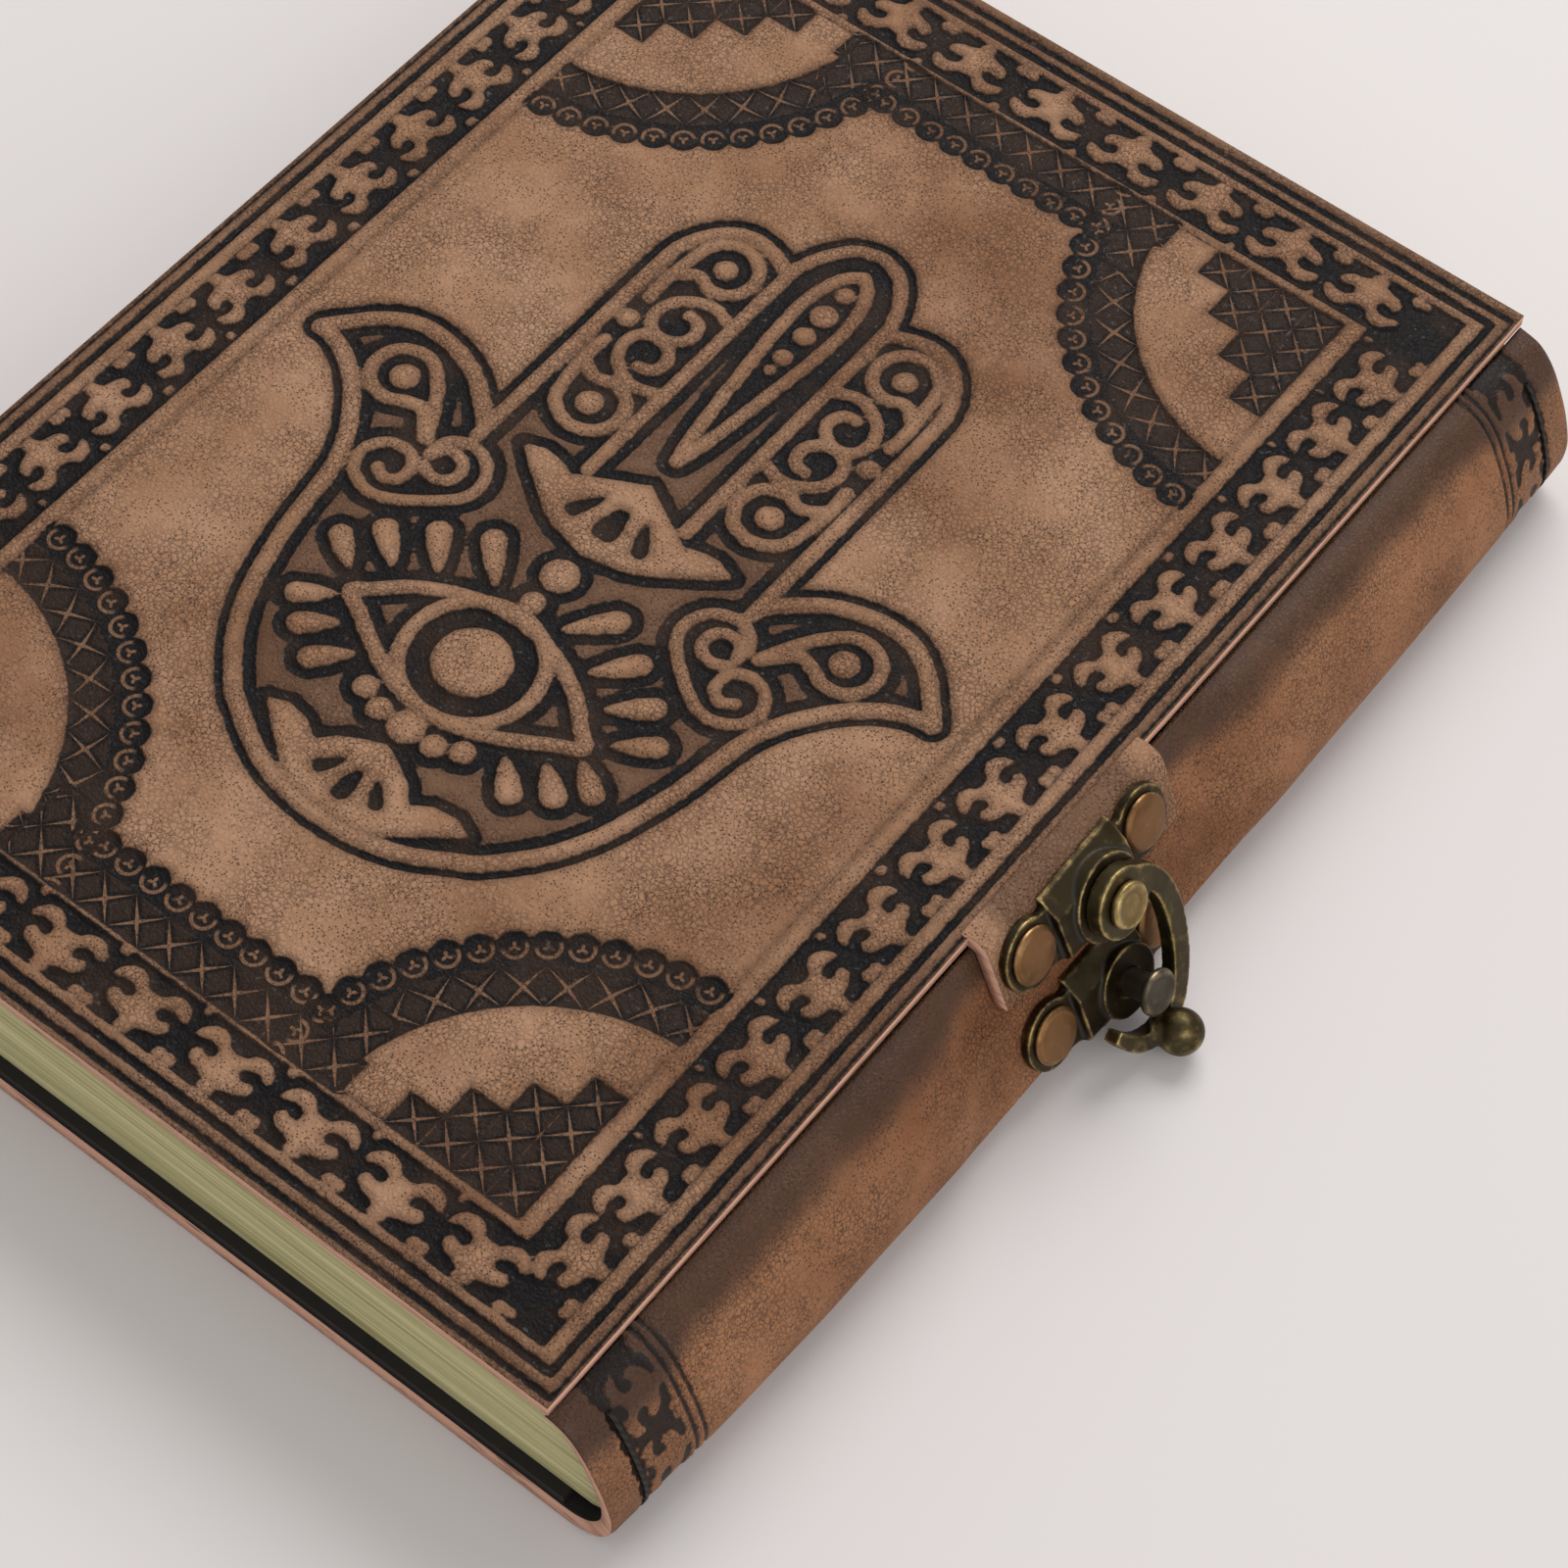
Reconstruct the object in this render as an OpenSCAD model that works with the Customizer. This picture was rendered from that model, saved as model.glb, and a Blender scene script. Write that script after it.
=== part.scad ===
// A handmade leather journal. One sheet of leather makes the spine, the back
// cover and a flap that wraps up round the fore-edge. The embossed front cover
// closes over the flap, and a tongue on it carries half of a brass swing clasp.
// X runs across the covers with the spine at -X, Y along the spine, Z up.

/* [Covers] */
// Width of the front cover, from the spine to the fore-edge
cover_w = 127; // [120:1:150]
// Length of the covers along the spine
cover_l = 178; // [170:1:210]
// Height of the closed book, from its base to the top of the front cover
book_t = 25; // [24:0.5:30]
// Thickness of the leather
leather_t = 1.8; // [1.5:0.1:2]
// Depth of the embossed pattern
emboss_d = 0.5; // [0.3:0.05:0.7]
// Thickness of the lining under the front cover
front_lining_t = 0.5; // [0.3:0.1:0.6]
// Thickness of the lining and its stiffener on the back cover
back_lining_t = 1.5; // [0.8:0.1:2]
// Outer radius of the bend from the back cover to the spine
spine_r = 3; // [2.5:0.1:5]

/* [Fore-edge flap] */
// How far the flap bulges past the end of the flat back cover
flap_bulge = 12.8; // [12:0.1:14]
// How far the flap is drawn in at its bottom end
tuck_bottom = 2.8; // [0:0.1:3]
// How far the flap is drawn in at its top end
tuck_top = 1; // [0:0.1:2]
// Width of the embossed band at each end of the flap
flap_band_w = 14.2; // [12:0.1:18]
// Depth of the lines in the flap's bands
flap_emboss_d = 0.35; // [0.2:0.05:0.5]

/* [Pages] */
// How far the pages stand back from the ends of the covers
page_inset = 2; // [0.5:0.1:3]
// Number of sewn page sections
section_count = 7; // [4:1:9]
// Depth of the valleys between the sections, seen on the page edges
section_valley = 0.5; // [0.3:0.1:0.8]
// Diameter of the binding thread
binding_thread_d = 0.9; // [0.6:0.1:1.2]

/* [Front cover pattern] */
// Half width of the inner field, to the outer side of its frame line
field_hw = 50.3; // [49:0.1:50.5]
// Half length of the inner field, to the outer side of its frame line
field_hl = 75.9; // [75:0.1:76.5]
// Width of the frame line round the inner field
frame_line_w = 1.9; // [1.2:0.1:2.2]
// Width of the border band that holds the scroll stamps
border_w = 8.6; // [8:0.1:8.8]
// Width of the raised lines and grooves outside the border band
rule_w = 0.95; // [0.8:0.05:1]
// Distance between two scroll stamps on the long sides
stamp_pitch_y = 10.2; // [10:0.1:11]
// Distance between two scroll stamps on the short sides
stamp_pitch_x = 11.4; // [11:0.1:12]
// Radius of the plain crescent in each corner
corner_r = 27; // [25:0.5:28]
// Width of the lattice band
lattice_w = 4.8; // [4.4:0.1:5]
// Pitch of the crosses in the lattice band
lattice_pitch = 4.5; // [4.3:0.1:5]
// Width of the lines that make the crosses
cross_line_w = 0.45; // [0.3:0.05:0.6]
// Diameter of the flower beads beside the lattice band
bead_d = 3.6; // [3.2:0.1:3.8]
// Size of the square stamps in the corner steps
step_cell = 4.25; // [4:0.05:4.5]
// Width of the groove round the raised figure
figure_groove_w = 0.8; // [0.5:0.1:1]

/* [Tongue and clasp] */
// Position of the tongue's middle along Y, from the middle of the cover
tongue_y = -4.1; // [-10:0.1:10]
// Width of the tongue
tongue_w = 32; // [30:0.5:36]
// Lean of the clasp plates, as the angle of their outward normal above level
clasp_lean = 23; // [20:1:25]
// Distance of the clasp's pivot outside the cover's edge
clasp_out = 4.7; // [4.4:0.1:5]
// Distance of the clasp's pivot below the top of the cover
clasp_drop = 5.9; // [5.6:0.1:6.2]
// Distance from the pivot to the latch post, along the plates
post_reach = 13.4; // [13:0.1:13.5]
// Sideways offset of the lower plate
lower_shift = -0.3; // [-0.6:0.1:0]
// How far the lower plate lies inside the plane of the upper one
lower_sink = 0.9; // [0.6:0.1:1]
// Distance between the two rivets of the upper plate
upper_span = 20.6; // [20:0.1:21.5]
// Sideways offset of the upper rivets from the boss
upper_shift = -0.8; // [-1:0.1:0]
// How far the upper plate is turned about its pivot
upper_turn = 2.5; // [0:0.5:3]
// Distance between the two rivets of the lower plate
lower_span = 19; // [18.9:0.1:20]
// Sideways offset of the lower rivets from the post
lower_rivet_shift = -1.6; // [-1.7:0.1:-1.5]
// Distance of the rivets above the boss of their plate
rivet_rise = 1.7; // [1:0.1:2]
// Diameter of the rivet heads
rivet_head_d = 6.9; // [6:0.1:7.4]
// Height of the rivet heads
rivet_head_h = 0.9; // [0.6:0.1:1.1]
// Diameter of the rivet shanks
rivet_d = 3; // [2.4:0.1:3.4]
// Diameter of the burr that each rivet is closed over
burr_d = 5; // [4.4:0.1:5.6]
// Thickness of the burrs
burr_t = 0.5; // [0.4:0.05:0.6]
// Thickness of a plate at its rivet lobes
plate_t = 1.2; // [1:0.1:1.4]
// Height of the raised bar between the lobes
bar_h = 2.4; // [2.2:0.1:2.5]
// Height of the round step on the bar
boss_h = 0.6; // [0.5:0.1:0.7]
// Diameter of the round step on the bar
boss_d = 10.6; // [9:0.1:10.8]
// Diameter of the lower plate's round step
lower_boss_d = 9; // [8.6:0.1:9]
// Diameter of the pivot pin and of the latch post
pin_d = 3.4; // [3:0.1:3.6]
// Diameter of the heads of the pivot pin and of the latch post
pin_head_d = 5.6; // [5:0.1:6]
// Height of those heads
pin_head_h = 1; // [0.8:0.1:1.2]
// Thickness of the swing hook
hook_t = 2; // [1.8:0.1:2.1]
// Outer diameter of the hook's ring
hook_ring_d = 8.6; // [8.4:0.1:9]
// Width of the hook's arm
hook_arm_w = 2.9; // [2.6:0.1:3]
// Diameter of the knob on the hook
knob_d = 5.5; // [5:0.1:5.6]

/* [Hidden] */

// Clearances: between the two bodies of leather, round the pivot, and on the pages
body_gap = 0.3;
pivot_fit = 0.05;
page_gap = 0.5;

hw = cover_w / 2;
hl = cover_l / 2;
cover_z = book_t - leather_t;
spine_top = cover_z - body_gap;
spine_in = -hw + leather_t;
flat_end = hw - 2;
flap_top = cover_z - 0.45;

// The clasp's own frame: a along the spine, b down the flap, n out of the plates
clasp_x = hw + clasp_out;
clasp_z = book_t - clasp_drop;
reach = [cos(clasp_lean), sin(clasp_lean)];
hook_n = bar_h + boss_h + 0.1;
head_n = hook_n + hook_t + 0.1;

// The object's middle across X, between the spine thread and the hook's knob
knob_n = hook_n + hook_t + 1.7;
knob_b = post_reach + 6.5;
knob_a = 0.2;
far_x = clasp_x + knob_n * cos(clasp_lean) + knob_b * sin(clasp_lean) + knob_d / 2;

near_x = -hw - binding_thread_d;
mid_x = (far_x + near_x) / 2;

function lerp(a, b, t) = a + (b - a) * t;
function clamp01(t) = min(1, max(0, t));
function ease(t) = let (c = clamp01(t)) c * c * (3 - 2 * c);
function unit(v) = v / norm(v);

// Smooth curve through points: k pieces between each two of them
function spline(p, k) = let (n = len(p)) concat([for (i = [0:n - 2])
    let (a = p[max(0, i - 1)], b = p[i], c = p[i + 1], d = p[min(n - 1, i + 2)])
    each [for (j = [0:k - 1]) let (t = j / k)
        0.5 * (2 * b + (c - a) * t + (2 * a - 5 * b + 4 * c - d) * t * t
               + (3 * b - a - 3 * c + d) * t * t * t)]], [p[n - 1]]);

// A line of points moved sideways by d, to the left of its direction
function beside(p, d) = let (n = len(p)) [for (i = [0:n - 1])
    let (u = unit(p[min(n - 1, i + 1)] - p[max(0, i - 1)])) p[i] + d * [-u[1], u[0]]];
function backwards(p) = [for (i = [len(p) - 1:-1:0]) p[i]];
function flip_x(p) = [for (q = p) [-q[0], q[1]]];

module stroke(p, w, k = 3) {
    c = k > 1 ? spline(p, k) : p;
    polygon(concat(beside(c, w / 2), backwards(beside(c, -w / 2))));
}
module both_sides() {
    children();
    mirror([1, 0]) children();
}
module place(p, turn = 0) translate([p[0], p[1]]) rotate(turn) children();

// The leather's section, seen from the bottom end: spine, back cover and flap
flap_line = [[0, 0], [6, 0.1], [9.9, 1.5], [12.3, 4.4], [12.8, 8], [11.6, 12.4],
             [9.8, 16.3], [7.8, 19.6], [5.3, 21.9], [2.1, 22.75]];
flap_curve = spline(flap_line, 3);
line_far = max([for (q = flap_line) q[0]]);
line_top = flap_line[len(flap_line) - 1][1];

function tuck(y) = flap_bulge - (y < 0 ? tuck_bottom : tuck_top) * pow(abs(y) / hl, 3);
function flap_pts(y, rise = 0) = let (k = tuck(y) / line_far)
    beside([for (q = flap_curve) [flat_end + k * q[0], q[1] * flap_top / line_top]], -rise);

// The tongue and the lower plate press the flap flat where the clasp sits on it
press_top = -leather_t - body_gap;
tongue_b = 3.4;
press_half = upper_span / 2 + 7.9;
function to_nb(p) = let (d = p - [clasp_x, clasp_z])
    [d[0] * reach[0] + d[1] * reach[1], d[0] * reach[1] - d[1] * reach[0]];
function press_limit(b) = lerp(press_top, -lower_sink, clamp01((b - tongue_b - 0.3) / 1.9));
function press_share(y) = 1 - ease((abs(y - tongue_y) - press_half) / 12);
function pressed(p, y, back) = let (q = to_nb(p), over = q[0] - press_limit(q[1]) + back)
    p - max(0, over) * press_share(y) * reach;

// Lines and rims embossed across the flap near its ends, as a height at a distance
function band_h(e) = e < 4.4 ? 0 : e < 5.7 ? -flap_emboss_d : e < flap_band_w - 2.6 ? -0.2
    : e < flap_band_w - 1.9 ? 0 : e < flap_band_w - 1.3 ? -flap_emboss_d
    : e < flap_band_w - 0.6 ? 0 : e < flap_band_w ? -flap_emboss_d : 0;
band_steps = [0, 4.3, 4.5, 5.6, 5.8, flap_band_w - 2.7, flap_band_w - 2.5,
              flap_band_w - 1.95, flap_band_w - 1.85, flap_band_w - 1.35, flap_band_w - 1.25,
              flap_band_w - 0.65, flap_band_w - 0.55, flap_band_w - 0.05, flap_band_w + 0.05];
stations = concat([for (e = band_steps) -hl + e],
    [for (y = [-hl + 22, -hl + 34, -hl + 46, tongue_y - 30, tongue_y - 26, tongue_y - 22,
               tongue_y - 18, tongue_y, tongue_y + 18, tongue_y + 22, tongue_y + 26,
               tongue_y + 30, hl - 46, hl - 34, hl - 22]) y],
    [for (e = backwards(band_steps)) hl - e]);

function bend(cx, cz, r) = [for (a = [180:22.5:270]) [cx + r * cos(a), cz + r * sin(a)]];
function outer_section(y) = let (e = hl - abs(y)) concat([[-hw, spine_top]],
    bend(-hw + spine_r, spine_r, spine_r),
    [for (i = [0:len(flap_curve) - 1])
        pressed(flap_pts(y, i < 5 ? 0 : band_h(e))[i], y, 0)]);
function inner_section(y) = concat([[spine_in, spine_top]],
    bend(-hw + spine_r, spine_r, spine_r - leather_t),
    [for (q = beside(flap_pts(y), leather_t)) pressed(q, y, leather_t)]);

// A solid swept through closed sections that all have the same number of points
module swept(rings, ys) {
    m = len(rings[0]);
    n = len(rings);
    pts = [for (i = [0:n - 1]) each [for (q = rings[i]) [q[0], ys[i], q[1]]]];
    half = m / 2;
    sides = [for (i = [0:n - 2]) each [for (j = [0:m - 1]) let (k = (j + 1) % m)
        [i * m + j, (i + 1) * m + j, (i + 1) * m + k, i * m + k]]];
    ends = [for (j = [0:half - 2]) each [
        [j, j + 1, m - 2 - j, m - 1 - j],
        backwards([for (q = [j, j + 1, m - 2 - j, m - 1 - j]) q + (n - 1) * m])]];
    polyhedron(pts, concat(sides, ends), convexity = 6);
}

// Placing things in the clasp's frame
module on_clasp(a = 0, b = 0, n = 0) translate([clasp_x, tongue_y, clasp_z])
    rotate([0, 90 - clasp_lean, 0]) translate([b, a, n]) children();
module at_rivets(span, shift) for (s = [-1, 1])
    translate([-rivet_rise, shift + s * span / 2, 0]) children();
module on_upper() on_clasp() rotate([0, 0, upper_turn]) children();
module on_lower() on_clasp(lower_shift, post_reach, -lower_sink) children();
module at_upper() on_upper() at_rivets(upper_span, upper_shift) children();
module at_lower() on_lower() at_rivets(lower_span, lower_rivet_shift) children();

module rivet_hole(depth) {
    translate([0, 0, -depth - 1]) cylinder(d = rivet_d, h = depth + 2, $fn = 48);
    translate([0, 0, -depth - 1]) cylinder(d = burr_d, h = 1 + burr_t, $fn = 48);
}

module back_cover() color("#6b4a35") translate([-mid_x, 0, 0]) difference() {
    swept([for (y = stations) concat(outer_section(y), backwards(inner_section(y)))], stations);
    at_lower() rivet_hole(leather_t);
}

module back_lining() color("#15130f") translate([-mid_x, 0, 0])
    translate([spine_in + 2, -hl + 0.6, leather_t])
        cube([flat_end + 3 - spine_in - 2, cover_l - 1.2, back_lining_t]);

// The pages: one solid whose valleys show the sewn sections on all three cut edges
page_z0 = leather_t + back_lining_t;
page_z1 = cover_z - front_lining_t - body_gap;
page_hl = hl - page_inset;
page_far = beside([for (q = flap_curve)
    let (k = (flap_bulge - max(tuck_bottom, tuck_top)) / line_far)
    [flat_end + k * q[0], q[1] * flap_top / line_top]], leather_t + page_gap);
page_edge = [for (q = page_far) if (q[1] > page_z0 + 0.2 && q[1] < flap_top - leather_t - page_gap) q];
module page_block() color("#b9bd8e") translate([-mid_x, 0, 0]) difference() {
    translate([0, page_hl, 0]) rotate([90, 0, 0]) linear_extrude(2 * page_hl)
        polygon(concat([[spine_in, page_z1], [spine_in, page_z0 + 1], [spine_in + 1, page_z0],
                        [page_edge[0][0] - 1, page_z0]], page_edge, [[flat_end, page_z1]]));
    // Room for the pressed flap behind the clasp
    on_clasp(0, -6, -leather_t - page_gap + press_top) translate([0, -press_half - 12, 0])
        cube([40, 2 * press_half + 24, 20]);
    for (i = [1:section_count - 1]) {
        z = lerp(page_z0, page_z1, i / section_count);
        for (s = [-1, 1]) translate([0, s * page_hl, z]) rotate([0, 90, 0])
            cylinder(r = section_valley, h = 300, center = true, $fn = 4);
    }
}

// Long stitches that hold each section to the spine
module binding_thread() color("#1b1713") translate([-mid_x, 0, 0])
    for (i = [0:section_count - 1], s = [-1, 1]) {
        z = lerp(page_z0, page_z1 - 1.5, (i + 0.5) / section_count);
        translate([-hw - binding_thread_d / 2, s * 0.44 * hl, z]) rotate([90, 0, 0])
            cylinder(d = binding_thread_d, h = 0.46 * hl, center = true, $fn = 16);
    }

// Thread in the groove across each end of the flap
thread_e = 5;
module flap_stitching() color("#14110e") translate([-mid_x, 0, 0]) for (s = [-1, 1]) {
    y = s * (hl - thread_e);
    pts = [for (q = flap_pts(y)) pressed(q, y, 0)];
    used = [for (i = [6:len(pts) - 6]) pts[i]];
    translate([0, y + 0.25, 0]) rotate([90, 0, 0]) linear_extrude(0.5)
        polygon(concat(beside(used, flap_emboss_d - 0.03), backwards(beside(used, -0.02))));
}

// One cast clasp plate: two rivet lobes, a raised bar and a round step. The bar's
// upper side slopes down towards the edge of the cover.
module plate(span, shift, boss) {
    lobe_r = rivet_head_d / 2 + 0.9;
    y0 = shift - span / 2;
    y1 = shift + span / 2;
    bar_0 = y0 + rivet_head_d / 2 + 0.4;
    bar_1 = y1 - rivet_head_d / 2 - 0.4;
    difference() {
        union() {
            at_rivets(span, shift) cylinder(r = lobe_r, h = plate_t, $fn = 64);
            linear_extrude(plate_t)
                polygon([[-rivet_rise - 3.2, y0], [-rivet_rise - 3.2, y1],
                         [-rivet_rise + 3.2, y1], [4.2, 4], [4.2, -4], [-rivet_rise + 3.2, y0]]);
            translate([0, bar_1, 0]) rotate([90, 0, 0]) linear_extrude(bar_1 - bar_0)
                polygon([[-6.2, 0], [-6, 0.7], [-3.4, bar_h], [2.4, bar_h], [3.2, bar_h - 0.8], [3.2, 0]]);
            cylinder(d = boss, h = bar_h + boss_h, $fn = 96);
        }
        translate([0, 0, -1]) cylinder(d = pin_d, h = 9, $fn = 64);
        at_rivets(span, shift) translate([0, 0, -1]) cylinder(d = rivet_d, h = 9, $fn = 48);
    }
}

// A turned pin with a dished head
module headed_pin(under_head) difference() {
    union() {
        cylinder(d = pin_d, h = under_head, $fn = 64);
        translate([0, 0, under_head]) rotate_extrude($fn = 96)
            polygon([[0, 0], [pin_head_d / 2 - 0.2, 0], [pin_head_d / 2, 0.2],
                     [pin_head_d / 2, pin_head_h - 0.3], [pin_head_d / 2 - 0.3, pin_head_h],
                     [0, pin_head_h]]);
    }
    translate([0, 0, under_head + pin_head_h - 0.25])
        cylinder(d1 = pin_head_d - 2.4, d2 = pin_head_d - 0.9, h = 0.3, $fn = 64);
}

module rivet() {
    translate([0, 0, -leather_t]) cylinder(d = rivet_d, h = leather_t + plate_t + 0.2, $fn = 48);
    translate([0, 0, plate_t]) rotate_extrude($fn = 96)
        polygon([[0, 0], [rivet_head_d / 2, 0], [rivet_head_d / 2, rivet_head_h * 0.45],
                 [rivet_head_d / 2 - 0.5, rivet_head_h * 0.85], [rivet_head_d / 4, rivet_head_h],
                 [0, rivet_head_h]]);
}
module burr() translate([0, 0, -leather_t]) difference() {
    cylinder(d = burr_d, h = burr_t, $fn = 48);
    translate([0, 0, -1]) cylinder(d = rivet_d, h = 3, $fn = 48);
}

module lower_plate() color("#57482b") translate([-mid_x, 0, 0])
    on_lower() plate(lower_span, lower_rivet_shift, lower_boss_d);
module latch_post() color("#5f5640") translate([-mid_x, 0, 0])
    on_lower() headed_pin(head_n + lower_sink + 0.2);
module lower_rivets() color("#8a6238") translate([-mid_x, 0, 0]) at_lower() rivet();
module lower_burrs() color("#8a6238") translate([-mid_x, 0, 0]) at_lower() burr();
module upper_plate() color("#57482b") translate([-mid_x, 0, 0])
    on_upper() plate(upper_span, upper_shift, boss_d);
module pivot_pin() color("#a07a35") translate([-mid_x, 0, 0]) on_clasp() headed_pin(head_n);
module upper_rivets() color("#8a6238") translate([-mid_x, 0, 0]) at_upper() rivet();
module upper_burrs() color("#8a6238") translate([-mid_x, 0, 0]) at_upper() burr();

// The hook lies in the clasp's plane: x here is down the flap, y along the spine
hook_arm = [[-1.6, 2.4], [0.2, 4.6], [3.6, 6.2], [7.8, 6.5], [12.2, 5.9], [16.2, 4.4],
            [19.1, 2.2], [19.9, -0.8], [18.9, -3.6], [17, -5.5], [14.7, -6.9]];
stalk_foot = [18.8, -1.6];
module swing_hook() color("#6a5730") translate([-mid_x, 0, 0]) on_clasp() {
    arm = spline(hook_arm, 4);
    n = len(arm) - 1;
    difference() {
        translate([0, 0, hook_n]) union() {
            cylinder(d = hook_ring_d, h = hook_t, $fn = 96);
            linear_extrude(hook_t) polygon(concat(
                [for (i = [0:n]) arm[i] + lerp(hook_arm_w, 1.5, pow(i / n, 3)) / 2
                    * (let (u = unit(arm[min(n, i + 1)] - arm[max(0, i - 1)])) [-u[1], u[0]])],
                backwards([for (i = [0:n]) arm[i] - lerp(hook_arm_w, 1.5, pow(i / n, 3)) / 2
                    * (let (u = unit(arm[min(n, i + 1)] - arm[max(0, i - 1)])) [-u[1], u[0]])])));
        }
        translate([0, 0, hook_n - 1]) cylinder(d = pin_d + 2 * pivot_fit, h = hook_t + 2, $fn = 64);
    }
    translate([knob_b, knob_a, knob_n]) sphere(d = knob_d, $fn = 64);
    stalk = [knob_b - stalk_foot[0], knob_a - stalk_foot[1], knob_n - hook_n - hook_t / 2];
    translate([stalk_foot[0], stalk_foot[1], hook_n + hook_t / 2])
        rotate([0, acos(stalk[2] / norm(stalk)), atan2(stalk[1], stalk[0])])
            cylinder(d1 = 3.2, d2 = knob_d - 0.9, h = norm(stalk), $fn = 48);
}

// The hand figure, drawn on its right half: mirrored about its own axis
outline_w = 2;
finger_line = [[0, 48.3], [3.3, 47.2], [5.7, 43.9], [6.9, 40], [7.1, 34], [7.1, 2]];
side_finger = [[7.4, 39.6], [10.3, 41], [13.6, 41.2], [16.8, 39.7], [19.2, 36.4], [20, 31], [20, -1]];
thumb_palm = [[20.3, 0.2], [23, 3], [26.4, 5.4], [30.4, 6.7], [34.6, 6.8], [38.4, 5.3], [41.6, 2.3],
              [43.6, -0.9], [38.2, -3.6], [35, -6.6], [32.2, -10.2], [30.3, -14.6], [27.9, -25.5],
              [24.2, -35.8], [17.6, -44.9], [12.6, -48.5], [6.6, -50.8], [0, -51.5]];
kidney = [[19, -3.2], [15.8, -4.6], [14.7, -7.6], [16.2, -11], [19.2, -13.9], [23, -15.6],
          [26.8, -14.9], [28.9, -12.2], [28.2, -9], [25.4, -7.4], [23.2, -5.2], [19, -3.2]];
eye_line = [[0, -18.1], [5, -19], [10.6, -21.8], [16.4, -26.6], [10.4, -30.2], [5, -32.7], [0, -33.6]];
almond = [[0, 44.6], [2, 42.4], [3.2, 37], [2.9, 29], [1.7, 19], [0.3, 9.4]];
lotus_top = [[0, 4.8], [6.2, 1.2], [8.2, 0.3], [11.5, 1.7], [15, 0.4], [10, -4.2], [5.4, -6.8],
             [0, -7.5]];
lotus_low = [[0, -39.9], [4.4, -42.2], [6.9, -44.4], [10.4, -42.6], [14.5, -43], [13.4, -44.9],
             [7.4, -49.2], [0, -50.6]];
lashes = [[[10, -10.2], [4.8, -16.4], 1.9], [[15.8, -12.7], [11.4, -18.6], 1.9],
          [[20.8, -17], [15.6, -21.3], 1.8], [[24.2, -20.6], [19.2, -24.7], 1.7],
          [[22.4, -32.4], [18, -28.6], 1.3], [[19.6, -35.6], [15.2, -31.4], 1.5],
          [[15.6, -38.4], [11.4, -33.4], 1.5]];
curls = [[19.6, -7.4, 200], [24.6, -11.6, 100], [12.2, 25.6, 150], [12.2, 19, 210]];
paisleys = [[13.2, 35.2, 4.7, 1.5], [13, 9.7, 4.6, 1.7], [32, -0.6, 4.9, 1.9]];
side_dots = [[17.6, 22.5, 1.5], [4.2, -37, 1.4], [7, -35.6, 1.6]];
middle_dots = [[0, -11.2, 2.3], [0, -15.9, 1.4], [0, -36.9, 2.1], [0, 41, 1.2], [0, 37.1, 1.8],
               [0, 33.2, 1.4], [0, 29.2, 1.1]];

module drop(lash) {
    u = unit(lash[0] - lash[1]);
    side = [-u[1], u[0]] * lash[2];
    head = lash[0] - u * lash[2];
    polygon(concat([lash[1]], [for (a = [-90:60:90]) head + u * lash[2] * cos(a) + side * sin(a)]));
}
module ring(outer, inner, seg) difference() {
    circle(r = outer, $fn = seg);
    circle(r = inner, $fn = seg);
}
module curl(s) place([s[0], s[1]], s[2])
    stroke([for (a = [0:65:260]) 2.9 * [cos(a), sin(a)]], 1.5, 1);

module figure_lines() {
    both_sides() {
        stroke(finger_line, 1.8, 1);
        stroke(side_finger, 1.9, 1);
        stroke(thumb_palm, outline_w, 1);
        stroke(kidney, 1.6, 1);
        stroke(eye_line, 1.9, 1);
        stroke(almond, 1.7, 1);
        polygon(lotus_top);
        polygon(lotus_low);
        for (l = lashes) drop(l);
        for (s = curls) curl(s);
        for (c = paisleys) place([c[0], c[1]]) {
            ring(c[2], c[2] - 1.6, 12);
            circle(r = c[3], $fn = 6);
        }
        for (c = side_dots) place([c[0], c[1]]) circle(r = c[2], $fn = 7);
    }
    place([0, -25.6]) {
        ring(9.1, 7.3, 20);
        circle(r = 4.7, $fn = 12);
    }
    for (c = middle_dots) place([c[0], c[1]]) circle(r = c[2], $fn = 6);
}
// Seeds cut into the two lotus flowers
seeds = [[[1.1, -5.6], [0.9, 0.2], 0.8], [[5, -3.6], [3.2, 0.2], 0.9],
         [[1, -49.2], [0.8, -44.6], 0.7], [[4.3, -47.6], [2.6, -44.4], 0.8]];
// The hand's whole area: its ground is pressed in, and its lines stand up
module figure_ground() offset(delta = figure_groove_w) both_sides() {
    stroke(finger_line, 1.8, 1);
    stroke(side_finger, 1.9, 1);
    stroke(thumb_palm, outline_w, 1);
    polygon(concat(finger_line, [[0, 2]]));
    polygon(concat([[0, -1]], [[0, 39]], side_finger));
    polygon(concat([[0, 0]], thumb_palm));
}

// One scroll stamp of the border: two curled leaves and a point towards the edge
half_stamp = [[-2.5, 2.2], [-0.2, 5], [-0.2, 2.2], [1.4, 3.9], [3.1, 2]];
module stamp() polygon(concat([[-1.4, 0]], half_stamp, [[4.2, 0]],
                              backwards([for (q = half_stamp) [q[0], -q[1]]])));
module stamp_row(length, pitch, out) {
    count = floor(length / pitch / 2);
    for (i = [-count:count], s = [0, 180]) rotate(s) place([out, i * pitch]) stamp();
}
module frame_ring(w, l, t) difference() {
    square([2 * w, 2 * l], center = true);
    square([2 * (w - t), 2 * (l - t)], center = true);
}
// A cross with narrow middle, drawn as a star of four points
module cross(size) polygon([for (i = [0:7])
    let (r = i % 2 == 0 ? size * 0.68 : cross_line_w) r * [cos(45 + 45 * i), sin(45 + 45 * i)]]);

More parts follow.
